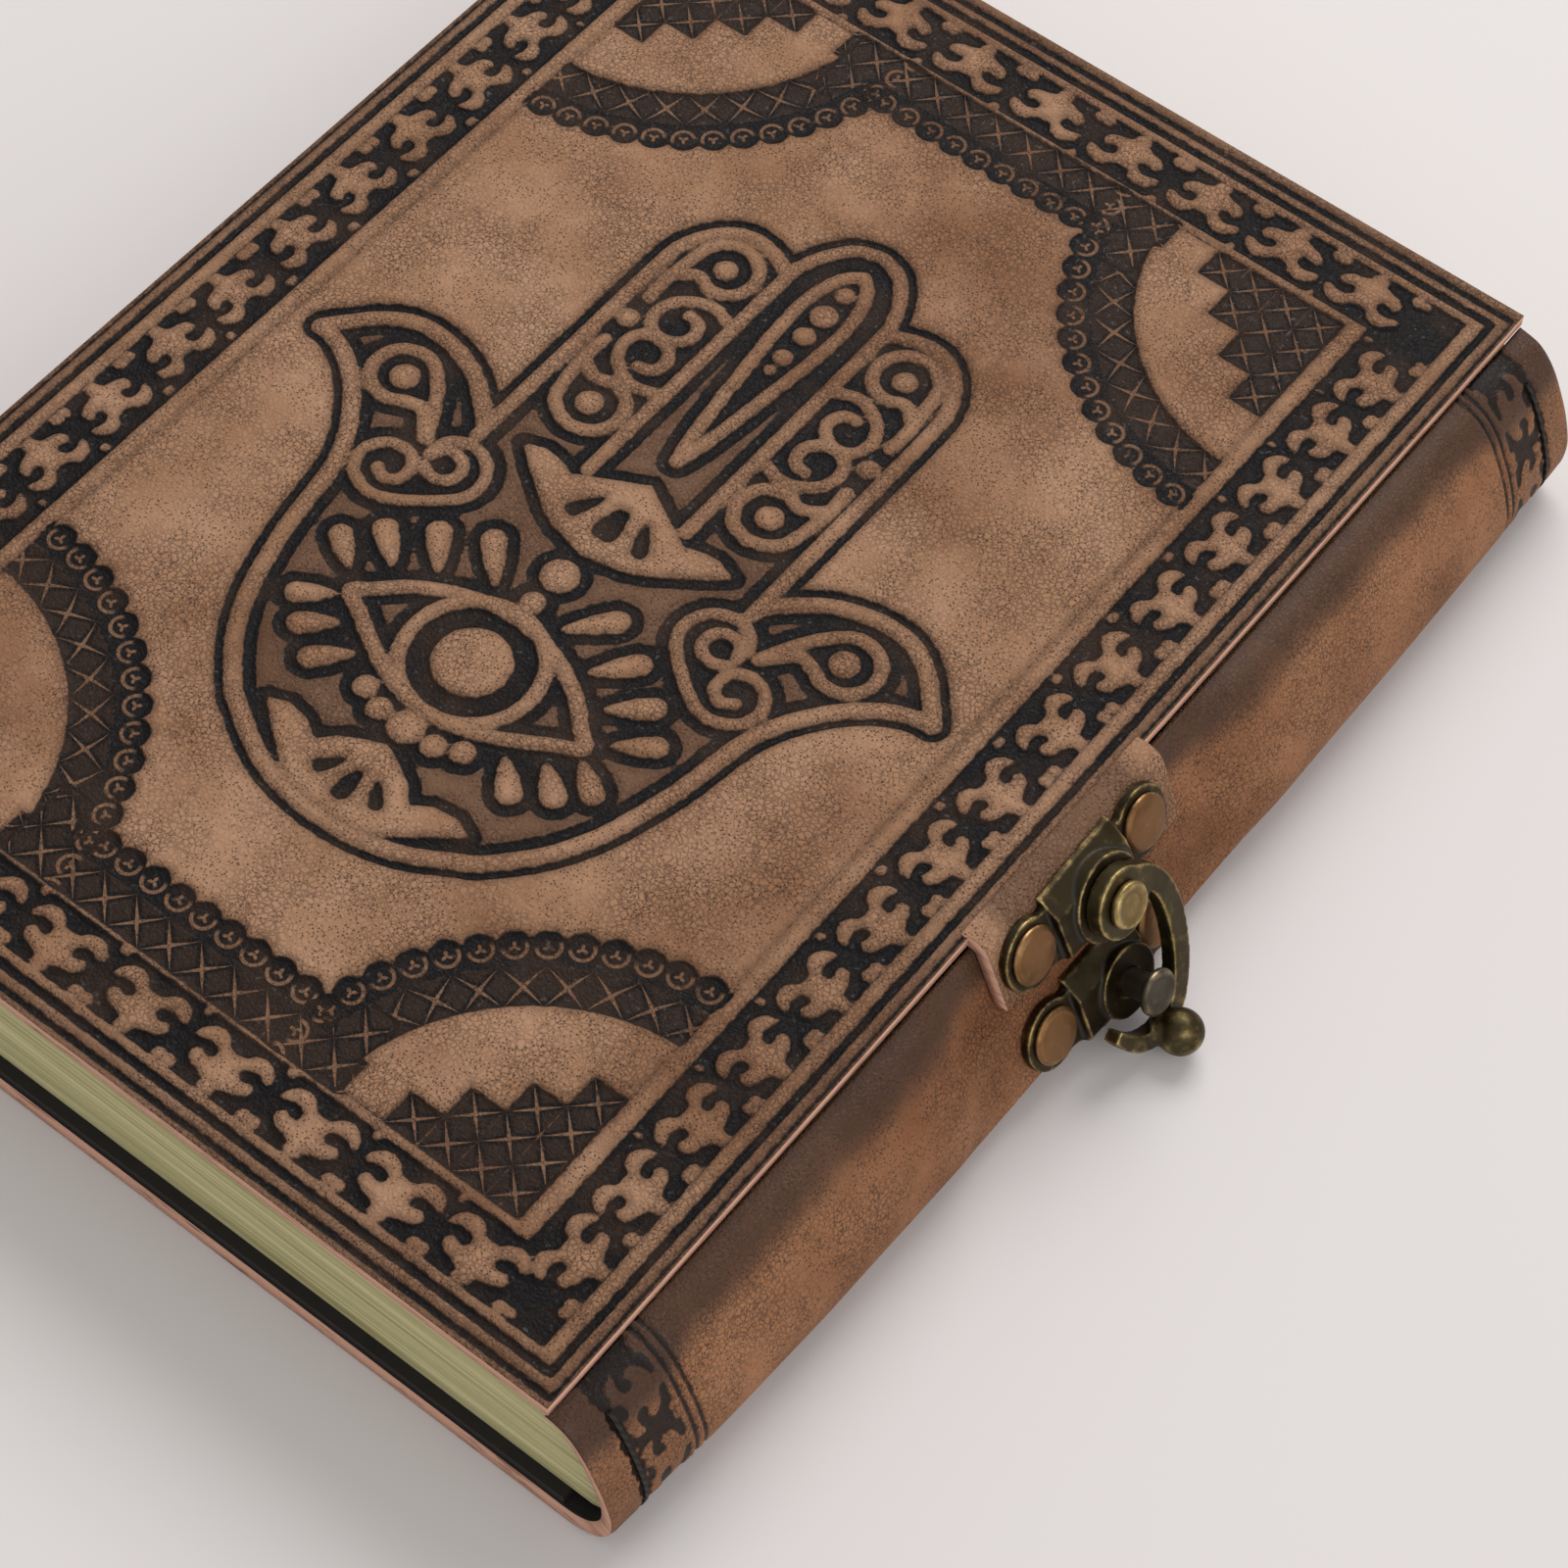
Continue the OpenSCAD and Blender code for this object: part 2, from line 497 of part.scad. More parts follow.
bead_r = corner_r + lattice_w + bead_d / 2;
lattice_r = corner_r + lattice_w / 2;
lattice_v = field_hl - 0.9 - lattice_w / 2;
bead_v = field_hl - 0.9 - lattice_w - bead_d / 2;
straight = field_hw - corner_r;
arc_count = 9;
arc_beads = 15;
row_count = floor(straight / lattice_pitch);
row_beads = floor((straight - lattice_w) / bead_d);
module corners() for (sx = [0, 1], sy = [0, 1]) mirror([sx, 0]) mirror([0, sy])
    place([field_hw - 0.2, field_hl - 0.6]) children();
module ends() for (s = [0, 180]) rotate(s) children();
module steps() for (row = [0:3], col = [0:3]) if (row + col < 4)
    place([-(col + 0.9) * step_cell, -(row + 0.6) * step_cell]) children();

// Dark grounds that are pressed in as a whole
module grounds() {
    frame_ring(field_hw + border_w, field_hl + border_w - 0.5, border_w);
    for (k = [1, 3]) frame_ring(field_hw + border_w + (k + 1) * rule_w,
                                field_hl + border_w - 0.5 + (k + 1) * rule_w, rule_w);
    corners() {
        difference() {
            intersection() {
                circle(r = corner_r + lattice_w + bead_d, $fn = 48);
                translate([-60, -60]) square(60);
            }
            circle(r = corner_r, $fn = 48);
        }
        steps() square(step_cell + 0.02, center = true);
    }
    ends() place([0, lattice_v - bead_d / 2])
        square([2 * straight, lattice_w + bead_d], center = true);
}
// What stands up again inside those grounds
module raised_details() {
    stamp_row(2 * field_hl - 6, stamp_pitch_y, field_hw + border_w / 2 - 0.7);
    rotate(90) stamp_row(2 * field_hw - 6, stamp_pitch_x, field_hl + border_w / 2 - 1);
    corners() {
        for (i = [0:arc_count]) rotate(184 + 82 * i / arc_count) place([lattice_r, 0]) cross(lattice_w);
        for (i = [0:arc_beads]) rotate(182 + 86 * i / arc_beads)
            place([bead_r, 0]) circle(d = bead_d * 0.78, $fn = 5);
        steps() rotate(45) square(step_cell * 0.3, center = true);
    }
    ends() {
        for (i = [-row_count + 1:row_count - 1]) place([i * lattice_pitch, lattice_v]) cross(lattice_w);
        for (i = [-row_beads:row_beads]) place([i * bead_d, bead_v]) circle(d = bead_d * 0.78, $fn = 5);
    }
}
// The whole pressed area of the front cover, as one flat outline
module pressed_area() offset(delta = 0.001) {
    difference() {
        union() {
            figure_ground();
            grounds();
        }
        figure_lines();
        raised_details();
    }
    both_sides() for (l = seeds) drop(l);
}

// The tongue is one with the cover: it bends over the edge and lies against the flap
bend_out = 2.5;
function along(b, n) = [clasp_x + n * reach[0] + b * reach[1], clasp_z + n * reach[1] - b * reach[0]];
corner_b = -(book_t - clasp_z) / reach[0];
corner_x = clasp_x + corner_b * reach[1];
turn = 90 - clasp_lean;
bend_x = corner_x - bend_out * tan(turn / 2);
bend_arc = [for (i = [0:6]) 90 - turn * i / 6];
module tongue() translate([0, tongue_y + tongue_w / 2, 0]) rotate([90, 0, 0]) linear_extrude(tongue_w)
    polygon(concat([[hw - 1, book_t], [hw, book_t]],
        [for (a = bend_arc) [bend_x, book_t - bend_out] + bend_out * [cos(a), sin(a)]],
        [along(tongue_b, 0), along(tongue_b, -leather_t)],
        backwards([for (a = bend_arc)
            [bend_x, book_t - bend_out] + (bend_out - leather_t) * [cos(a), sin(a)]]),
        [[hw - 1, cover_z]]));

module front_cover() color("#a5805f") translate([-mid_x, 0, 0]) difference() {
    union() {
        translate([-hw, -hl, cover_z]) cube([cover_w, cover_l, leather_t]);
        tongue();
    }
    translate([0, 0, book_t - emboss_d]) linear_extrude(1) pressed_area();
    at_upper() rivet_hole(leather_t);
}

lining_inset = 3;
module front_lining() color("#191613") translate([-mid_x, 0, 0])
    translate([-hw + lining_inset, -hl + 0.6, cover_z - front_lining_t])
        cube([cover_w - 2 * lining_inset, cover_l - 1.2, front_lining_t]);

back_cover();
back_lining();
page_block();
binding_thread();
flap_stitching();
lower_plate();
latch_post();
lower_rivets();
lower_burrs();
front_cover();
front_lining();
upper_plate();
pivot_pin();
upper_rivets();
upper_burrs();
swing_hook();
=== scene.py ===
from math import cos, pi, radians, sin, tan

import bmesh
import bpy
import numpy as np
from mathutils import Matrix, Vector


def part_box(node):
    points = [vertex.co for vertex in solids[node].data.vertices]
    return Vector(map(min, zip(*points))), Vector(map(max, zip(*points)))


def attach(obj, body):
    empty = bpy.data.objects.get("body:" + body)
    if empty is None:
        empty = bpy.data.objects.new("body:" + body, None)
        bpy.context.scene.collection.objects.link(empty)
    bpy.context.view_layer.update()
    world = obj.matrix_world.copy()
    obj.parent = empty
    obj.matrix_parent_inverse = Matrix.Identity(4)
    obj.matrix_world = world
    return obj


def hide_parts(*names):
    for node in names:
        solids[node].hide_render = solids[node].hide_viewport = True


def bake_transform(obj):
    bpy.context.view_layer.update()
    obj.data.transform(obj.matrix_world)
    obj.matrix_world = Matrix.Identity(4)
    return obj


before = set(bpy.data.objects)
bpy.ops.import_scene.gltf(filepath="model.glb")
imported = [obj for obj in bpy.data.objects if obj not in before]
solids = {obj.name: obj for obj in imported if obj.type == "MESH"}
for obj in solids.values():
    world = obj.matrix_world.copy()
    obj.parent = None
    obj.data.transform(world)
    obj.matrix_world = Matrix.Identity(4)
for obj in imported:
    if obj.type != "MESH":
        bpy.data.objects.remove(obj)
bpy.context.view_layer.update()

# The plain pale table that the journal lies on, and the backdrop behind it: one
# large painted sheet, a little pink, whose colour is also what the metal reflects.


class Socket:
    """One output of a shader node. Sums of it with numbers or others add Math nodes."""

    def __init__(self, tree, out):
        self.tree = tree
        self.out = out

    def math(self, operation, *others):
        values = {i: v for i, v in enumerate((self,) + others)}
        return add_node(self.tree, "ShaderNodeMath", {"operation": operation}, values)

    def __add__(self, other):
        return self.math("ADD", other)

    __radd__ = __add__

    def __mul__(self, other):
        return self.math("MULTIPLY", other)

    __rmul__ = __mul__

    def __sub__(self, other):
        return self.math("SUBTRACT", other)

    def __rsub__(self, other):
        return (self * -1).math("ADD", other)

    def __truediv__(self, other):
        return self.math("DIVIDE", other)

    def __abs__(self):
        return self.math("ABSOLUTE")

    def low(self, other):
        return self.math("MINIMUM", other)

    def high(self, other):
        return self.math("MAXIMUM", other)

    def step(self, start, end):
        """0 below start, 1 above end, and smooth between. start may be the larger one."""
        values = {0: self, 1: start, 2: end, 3: 0.0, 4: 1.0}
        if start > end:
            values.update({1: end, 2: start, 3: 1.0, 4: 0.0})
        return add_node(self.tree, "ShaderNodeMapRange", {"interpolation_type": "SMOOTHSTEP"}, values)


def add_node(tree, kind, settings, sockets, out=0):
    """Adds a node with its settings, then its socket values or links, and gives one output."""
    node = tree.nodes.new(kind)
    for name, value in settings.items():
        if name == "ramp":
            band = node.color_ramp
            while len(band.elements) < len(value):
                band.elements.new(0.5)
            for element, (place, colour) in zip(band.elements, value):
                element.position = place
                element.color = (*colour, 1.0)
        else:
            setattr(node, name, value)
    for name, value in sockets.items():
        socket = node.inputs[name]
        if isinstance(value, Socket):
            tree.links.new(value.out, socket)
        elif isinstance(value, (tuple, list)) and len(value) == 3 and len(socket.default_value) == 4:
            socket.default_value = (*value, 1.0)
        else:
            socket.default_value = value
    return Socket(tree, node.outputs[out]) if len(node.outputs) else None


class Finish:
    """A material with one Principled shader, and the few patterns that finishes are made of."""

    def __init__(self, name):
        self.material = bpy.data.materials.new(name)
        self.material.use_nodes = True
        self.tree = self.material.node_tree
        self.tree.nodes.clear()
        self.place = self.add("ShaderNodeTexCoord", out="Object")

    def add(self, kind, settings=None, sockets=None, out=0):
        return add_node(self.tree, kind, settings or {}, sockets or {}, out)

    def mixed(self, a, b, factor):
        """From colour a at factor 0 to colour b at factor 1."""
        return self.add("ShaderNodeMix", {"data_type": "RGBA"}, {0: factor, 6: a, 7: b}, out=2)

    def tinted(self, a, b, factor):
        """Colour a multiplied by colour b, as far as the factor says."""
        settings = {"data_type": "RGBA", "blend_type": "MULTIPLY"}
        return self.add("ShaderNodeMix", settings, {0: factor, 6: a, 7: b}, out=2)

    def noise(self, scale, detail=3.0, rough=0.55, place=None, stretch=None):
        where = place or self.place
        if stretch:
            where = self.add("ShaderNodeVectorMath", {"operation": "MULTIPLY"}, {0: where, 1: stretch})
        sockets = {"Vector": where, "Scale": scale, "Detail": detail, "Roughness": rough}
        return self.add("ShaderNodeTexNoise", {}, sockets)

    def cells(self, scale, feature="F1", place=None):
        sockets = {"Vector": place or self.place, "Scale": scale}
        return self.add("ShaderNodeTexVoronoi", {"feature": feature}, sockets)

    def value(self, name):
        settings = {"attribute_type": "GEOMETRY", "attribute_name": name}
        return self.add("ShaderNodeAttribute", settings, {}, out="Fac")

    def parts(self, vector):
        return [self.add("ShaderNodeSeparateXYZ", {}, {0: vector}, out=i) for i in range(3)]

    def finish(self, colour, roughness, bump=None, depth=0.0001, **others):
        """Ends the material: bump is a height from 0 to 1 that stands depth metres tall."""
        sockets = {"Base Color": colour, "Roughness": roughness, **others}
        if bump is not None:
            sockets["Normal"] = self.add(
                "ShaderNodeBump", {}, {"Strength": 1.0, "Distance": depth, "Height": bump})
        shader = self.add("ShaderNodeBsdfPrincipled", {}, sockets)
        self.add("ShaderNodeOutputMaterial", {}, {"Surface": shader})
        return self.material


def new_piece(name, bm, materials, body=None, smooth=True):
    """Makes a bmesh an object with its materials, which rides on a body of the frame."""
    mesh = bpy.data.meshes.new(name)
    bm.to_mesh(mesh)
    bm.free()
    piece = bpy.data.objects.new(name, mesh)
    bpy.context.scene.collection.objects.link(piece)
    for material in materials:
        mesh.materials.append(material)
    mesh.polygons.foreach_set("use_smooth", [smooth] * len(mesh.polygons))
    if body:
        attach(piece, body)
    return piece


table_paint = Finish("table_paint")
table_tone = table_paint.noise(1.5, 2.0)
table_colour = table_paint.mixed((0.665, 0.63, 0.62), (0.685, 0.655, 0.645), table_tone)
table_paint.finish(table_colour, 0.6)
floor_mesh = bmesh.new()
bmesh.ops.create_grid(floor_mesh, x_segments=1, y_segments=1, size=3.0)
floor = new_piece("floor", floor_mesh, [table_paint.material], smooth=False)

# The camera stands above the book's tail and fore-edge, about half a metre away,
# turned so that the spine runs up to the right as in the photograph.
spine_side = -0.0635
middle_x = spine_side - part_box("back_cover")[0][0]
right = Vector((0.7868, 0.6166, 0.0258))
down = Vector((0.5282, -0.6512, -0.5449))
ahead = Vector((-0.3192, 0.4424, -0.8381))
turn = Matrix((right, -down, -ahead)).transposed().to_4x4()
stand = Vector((0.1763 - middle_x, -0.2108, 0.3918))
camera_data = bpy.data.cameras.new("camera")
camera_data.lens = 93.4
camera_data.sensor_width = 36.0
camera_data.clip_start = 0.01
camera = bpy.data.objects.new("camera", camera_data)
camera.matrix_world = Matrix.Translation(stand) @ turn
bpy.context.scene.collection.objects.link(camera)
bpy.context.scene.camera = camera

# Soft studio light: a large panel over the spine side, a smaller one low on the
# fore-edge side, and an even pale surrounding.


def lamp(name, place, target, size, power, tint=(1.0, 1.0, 1.0)):
    data = bpy.data.lights.new(name, "AREA")
    data.shape = "RECTANGLE"
    data.size, data.size_y = size
    data.energy = power
    data.color = tint
    light = bpy.data.objects.new(name, data)
    aim = Vector(target) - Vector(place)
    light.matrix_world = Matrix.Translation(place) @ aim.to_track_quat("-Z", "Y").to_matrix().to_4x4()
    bpy.context.scene.collection.objects.link(light)


lamp("window", (-0.25, 0.75, 1.0), (0.0, 0.0, 0.0), (0.9, 0.7), 10.0, (1.0, 0.98, 0.97))
lamp("fill", (0.9, -0.3, 0.7), (0.0, 0.0, 0.0), (0.8, 0.8), 4.0)
world = bpy.data.worlds.new("surrounding")
world.use_nodes = True
world.node_tree.nodes["Background"].inputs["Color"].default_value = (0.96, 0.95, 0.96, 1.0)
world.node_tree.nodes["Background"].inputs["Strength"].default_value = 0.55
bpy.context.scene.world = world
bpy.context.scene.view_settings.view_transform = "Standard"

# One sheet of leather makes the spine, the back cover and the flap that is bowed up
# round the fore-edge. Bands are pressed across the flap near its two ends, and dye
# is rubbed into them. Along the flap's upper side, under the cover's edge, the colour is
# darkened partly by dye and partly by painted shade. Its cut edges are left raw.
leather = 1.8
cover_w = 127.0
cover_l = 178.0
spine_top = 22.9
bend_r = 3.0
flat_end = 61.5
flap_bulge = 12.8
flap_line = [(0, 0), (6, 0.1), (9.9, 1.5), (12.3, 4.4), (12.8, 8), (11.6, 12.4), (9.8, 16.3),
             (7.8, 19.6), (5.3, 21.9), (2.1, 22.75)]
tuck_tail, tuck_head = 2.8, 1.0
clasp_x, clasp_y, clasp_z = 68.2, -4.1, 19.1
lean = radians(23)
# The flat that the clasp presses into the flap, under the tongue and under the plate
press_under_tongue = -2.1
press_under_plate = -0.9
press_change = 3.7
press_change_run = 1.9
press_half = 18.2
press_fade = 12
# Bands at the flap's ends, as distances from the end
groove_e = 5.05
groove_half = 0.75
stamp_e = 8.3
ground_e = 8.7
ground_half = 2.9
flap_rules = ((12.6, 0.28), (13.9, 0.25))
flap_stamps = [9.0, 19.6, 30.2]
band_start = 7
groove_depth = 0.35
stamp_depth = 0.22


def along_curve(points, pieces=6):
    """A smooth line through the points."""
    p = [np.array(q, float) for q in points]
    line = []
    for i in range(len(p) - 1):
        a, b, c, d = p[max(0, i - 1)], p[i], p[i + 1], p[min(len(p) - 1, i + 2)]
        for t in np.arange(pieces) / pieces:
            line.append(0.5 * (2 * b + (c - a) * t + (2 * a - 5 * b + 4 * c - d) * t * t
                               + (3 * b - a - 3 * c + d) * t ** 3))
    return np.array(line + [p[-1]])


def from_line(x, y, points, width, taper=None, pieces=6):
    """Distance to a stroke of that width along a smooth line, less than 0 inside it."""
    line = along_curve(points, pieces)
    halves = np.full(len(line), width / 2)
    if taper:
        halves = np.interp(np.linspace(0, 1, len(line)), *zip(*taper)) * width / 2
    best = np.full(x.shape, 99.0)
    for (ax, ay), (bx, by), ra, rb in zip(line[:-1], line[1:], halves[:-1], halves[1:]):
        dx, dy = bx - ax, by - ay
        t = np.clip(((x - ax) * dx + (y - ay) * dy) / (dx * dx + dy * dy + 1e-9), 0, 1)
        gap = np.hypot(x - ax - t * dx, y - ay - t * dy) - (ra + t * (rb - ra))
        best = np.minimum(best, gap)
    return best


def from_shape(x, y, points, pieces=1):
    """Distance to a closed outline, less than 0 inside it."""
    p = along_curve(list(points) + [points[0]], pieces) if pieces > 1 else np.array(points, float)
    best = np.full(x.shape, 99.0)
    inside = np.zeros(x.shape, bool)
    for (ax, ay), (bx, by) in zip(p, np.roll(p, -1, axis=0)):
        dx, dy = bx - ax, by - ay
        t = np.clip(((x - ax) * dx + (y - ay) * dy) / (dx * dx + dy * dy + 1e-9), 0, 1)
        best = np.minimum(best, np.hypot(x - ax - t * dx, y - ay - t * dy))
        crossing = (ay > y) != (by > y)
        inside ^= crossing & (x < ax + (y - ay) * dx / (dy if dy else 1e-9))
    return np.where(inside, -best, best)


def from_dot(x, y, cx, cy, r):
    return np.hypot(x - cx, y - cy) - r


def from_drop(x, y, tip, end, r):
    """Distance to a seed shape with a point at one end and a round of radius r at the other."""
    return from_line(x, y, [tip, end], 2 * r, [(0, 0.25), (0.6, 0.9), (1, 1)], pieces=5)


def smooth(t):
    t = np.clip(t, 0, 1)
    return t * t * (3 - 2 * t)


# Half of a border stamp: out is towards the cover's edge, along is beside it
half_stamp = [(-1.6, 0), (-1.7, 0.9), (-2.6, 1.5), (-3.05, 2.5), (-2.7, 3.6), (-1.8, 4.35), (-0.8, 4.5),
              (-0.8, 4.0), (-1.15, 3.2), (-1.2, 2.3), (-0.8, 1.6), (0, 1.4), (0.5, 1.8), (0.4, 2.5),
              (0.1, 3.1), (0.7, 3.7), (1.5, 3.5), (2.1, 2.7), (2.3, 1.8), (2.7, 0.9), (3.3, 0.9),
              (3.8, 0.7), (4.1, 0)]
stamps_long = [-74.3, -64.9, -55, -44.9, -34.8, -24.5, -13.8, -3.5, 7.3, 18, 28.7, 39.3, 49.6, 59.6, 69.3]
stamps_short = [-56, -44.6, -33, -21.4, -10, 1.8, 13.3, 25, 36.4, 47.6]


def stamp_distance(out, along, centres, stretch=1.0):
    nearest = np.abs(along[:, None] - np.array(centres)[None, :]).min(axis=1) / stretch
    d = from_shape(out, nearest, half_stamp + [(a, -b) for a, b in half_stamp[-2:0:-1]])
    for cx, cy, r in ((3.3, 4.6, 0.75), (3.2, 5.6, 0.6), (-3.6, 5.1, 0.5)):
        d = np.minimum(d, from_dot(out, nearest, cx, cy, r))
    return d


turned = np.radians(np.arange(180, 271, 9))
section = np.vstack([
    [[-cover_w / 2, spine_top]],
    np.stack([bend_r * (1 + np.cos(turned)) - cover_w / 2, bend_r * (1 + np.sin(turned))], axis=1),
    along_curve(flap_line, 10) + [flat_end, 0]])
section_run = np.concatenate([[0], np.cumsum(np.hypot(*np.diff(section, axis=0).T))])
flap_run = section_run[-len(along_curve(flap_line, 10))]
stops = np.concatenate([
    np.linspace(0, 20, 14), np.linspace(20.8, 26, 7), np.linspace(30, flap_run - 4, 24),
    np.linspace(flap_run, section_run[-1], 88)])
ends = np.concatenate([np.linspace(0, 15, 46), np.linspace(15.9, cover_l / 2, 80)])
rows = np.concatenate([ends - cover_l / 2, (cover_l / 2 - ends)[-2::-1]])


def wrap_place(run, y):
    """Where a point of the sheet lies, across and up, in millimetres."""
    x = np.interp(run, section_run, section[:, 0])
    z = np.interp(run, section_run, section[:, 1])
    pull = flap_bulge - np.where(y < 0, tuck_tail, tuck_head) * (np.abs(y) / (cover_l / 2)) ** 3
    x = np.where(run > flap_run, flat_end + (x - flat_end) * pull / flap_bulge, x)
    # The tongue and the lower plate of the clasp press the flap flat
    out = (x - clasp_x) * cos(lean) + (z - clasp_z) * sin(lean)
    along = (x - clasp_x) * sin(lean) - (z - clasp_z) * cos(lean)
    change = np.clip((along - press_change) / press_change_run, 0, 1)
    limit = press_under_tongue + (press_under_plate - press_under_tongue) * change
    share = 1 - smooth((np.abs(y - clasp_y) - press_half) / press_fade)
    over = np.maximum(0, out - limit + 0.03) * share
    return x - over * cos(lean), z - over * sin(lean)


def in_metres(x, y, z):
    """A place in millimetres from the middle of the cover, as a place in the frame."""
    return (x - 1000 * middle_x) / 1000, y / 1000, z / 1000


def mark(bm, **attributes):
    """Stores named values, one for each vertex, for the materials to read."""
    for name, values in attributes.items():
        layer = bm.verts.layers.float.new(name)
        for vert, value in zip(bm.verts, values):
            vert[layer] = value


def thicken(piece, depth, inside=0, rim=0):
    """Gives a drawn face its thickness, and materials to its other side and its rim."""
    wall = piece.modifiers.new("thickness", "SOLIDIFY")
    wall.thickness = depth
    wall.offset = -1.0
    wall.use_even_offset = True
    wall.material_offset = inside
    wall.material_offset_rim = rim



bm = bmesh.new()
bmesh.ops.create_grid(bm, x_segments=len(stops) - 1, y_segments=len(rows) - 1, size=1.0)
spots = np.array([v.co for v in bm.verts])
run = np.interp(spots[:, 0], np.linspace(-1, 1, len(stops)), stops)
y = np.interp(spots[:, 1], np.linspace(-1, 1, len(rows)), rows)
to_end = cover_l / 2 - np.abs(y)
on_flap = run - flap_run
# Bands: a sewn groove, a ground with scroll stamps, and two lines
scrolls = stamp_distance(to_end - stamp_e, on_flap, flap_stamps)
waves = 0.3 * np.sin(on_flap * 2.9) * np.sin(on_flap * 1.3 + 1)
groove = np.abs(to_end - groove_e) - groove_half + waves
ground = np.maximum(np.abs(to_end - ground_e) - ground_half, -scrolls)
rules = np.minimum(*[np.abs(to_end - place) - half for place, half in flap_rules])
flap_hollow = np.minimum(np.minimum(groove, ground), rules)
flap_hollow = np.where(on_flap > band_start, flap_hollow, 4.0)
pressed_in = smooth((0.3 - flap_hollow) / 0.6)
deep = np.where(np.minimum(groove, rules) < 0.3, groove_depth, stamp_depth)
swell = 0.25 * np.sin(y / 9.0) * np.sin(y / 23.0 + 1) * smooth(on_flap / 12) * smooth((to_end - 16) / 20)
x, z = wrap_place(run, y)
x_next, z_next = wrap_place(run + 0.05, y)
x_back, z_back = wrap_place(run - 0.05, y)
ends_here = run > section_run[-1] - 0.05
along_x = np.where(ends_here, x - x_back, x_next - x)
along_z = np.where(ends_here, z - z_back, z_next - z)
size = np.hypot(along_x, along_z) + 1e-9
depth = pressed_in * deep + 0.15 * smooth(1 - to_end / 0.7) + np.abs(swell) * 0.5
x = x - depth * along_z / size
z = z + depth * along_x / size
for vert, px, py, pz in zip(bm.verts, x, y, z):
    vert.co = in_metres(px, py, pz)
# The flap is darker towards its upper side under the cover's edge, partly from rubbed-in dye and partly
# from painted shade, and darker near its ends from dye.
dye_and_shade = smooth((on_flap - 26) / 8) * 0.9 + 0.45 * smooth((17 - to_end) / 6) * (on_flap > 0)
mark(bm, hollow=np.clip(flap_hollow, -3, 4), tone=np.clip(dye_and_shade, 0, 1))
bmesh.ops.recalc_face_normals(bm, faces=bm.faces)
if sum(f.normal.z for f in bm.faces if f.calc_center_median().z < 0.0005) > 0:
    bmesh.ops.reverse_faces(bm, faces=bm.faces)


def tanned(finish, light, warm):
    """The grain of the leather: its colour, and its height as a bump."""
    sway = finish.add("ShaderNodeTexNoise", {}, {"Vector": finish.place, "Scale": 700.0}, out="Color")
    bent = finish.add(
        "ShaderNodeMix", {"data_type": "VECTOR"}, {0: 0.0012, 4: finish.place, 5: sway}, out=1)
    edges = finish.cells(1500, "DISTANCE_TO_EDGE", bent)
    wear = finish.noise(110, 4.0, 0.6)
    mottle = finish.noise(70, 5.0, 0.65)
    patches = finish.noise(26, 4.0, 0.6)
    cracks = edges.step(0.14, 0.03) * wear.step(0.30, 0.62)
    dots = finish.cells(2500).step(0.36, 0.20) * finish.noise(260, 3.0).step(0.30, 0.55)
    colour = finish.mixed(warm, light, mottle.step(0.3, 0.7))
    colour = finish.tinted(colour, (0.66, 0.57, 0.50), patches.step(0.48, 0.72))
    colour = finish.mixed(colour, (0.040, 0.022, 0.015), cracks * 0.6)
    colour = finish.mixed(colour, (0.035, 0.020, 0.014), dots * 0.75)
    return colour, edges.step(0.0, 0.3) * 0.6 + mottle * 0.25 - dots * 0.4


wrap_skin = Finish("wrap_leather")
skin_colour, skin_height = tanned(wrap_skin, (0.37, 0.175, 0.085), (0.27, 0.118, 0.052))
skin_edge = wrap_skin.value("hollow") + (wrap_skin.noise(900, 2.0) - 0.5) * 0.45
stain = skin_edge.step(0.16, -0.14)
cloud = wrap_skin.noise(45, 5.0, 0.65)
# Darkened where the tone says: rubbed-in dye, and along the flap's upper side also painted shade.
rubbed = (wrap_skin.value("tone") + (cloud - 0.5) * 0.55).step(0.25, 0.95)
skin_colour = wrap_skin.mixed(skin_colour, (0.040, 0.020, 0.012), rubbed * 0.85)
skin_colour = wrap_skin.mixed(skin_colour, (0.008, 0.005, 0.004), stain * 0.94)
wrap_skin.finish(
    skin_colour, 0.62 - rubbed * 0.16, skin_height - stain * 0.2, 0.00009,
    **{"Specular IOR Level": 0.16, "Coat Weight": rubbed.high(stain) * 0.12, "Coat Roughness": 0.3})

raw = Finish("cut_leather")
layers = raw.noise(220, 4.0, 0.6, stretch=(1.0, 1.0, 9.0))
raw_colour = raw.mixed((0.25, 0.12, 0.08), (0.62, 0.35, 0.25), layers.step(0.25, 0.5))
raw.finish(raw_colour, 0.85, raw.noise(1500, 2.0), 0.0001, **{"Specular IOR Level": 0.2})

wrap = new_piece("wrap_leather_sheet", bm, [wrap_skin.material, raw.material, raw.material], "back")
thicken(wrap, leather / 1000, inside=1, rim=2)
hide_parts("back_cover")

# Black paper lines the inside of the wrap and of both covers, over a stiff board on
# the back one. It shows as a dark line under the pages, and inside the opened cover.
black_paper = Finish("black_lining")
fibres = black_paper.noise(420, 4.0, 0.7)
paper_colour = black_paper.mixed((0.008, 0.007, 0.006), (0.024, 0.020, 0.017), fibres)
black_paper.finish(paper_colour, 0.75, fibres, 0.00006, **{"Specular IOR Level": 0.3})


def dress(names, material):
    """Gives plain nodes of the frame their finish."""
    for name in names:
        solids[name].data.materials.clear()
        solids[name].data.materials.append(material)


dress(["back_lining", "front_lining"], black_paper.material)
wrap.data.materials[1] = black_paper.material

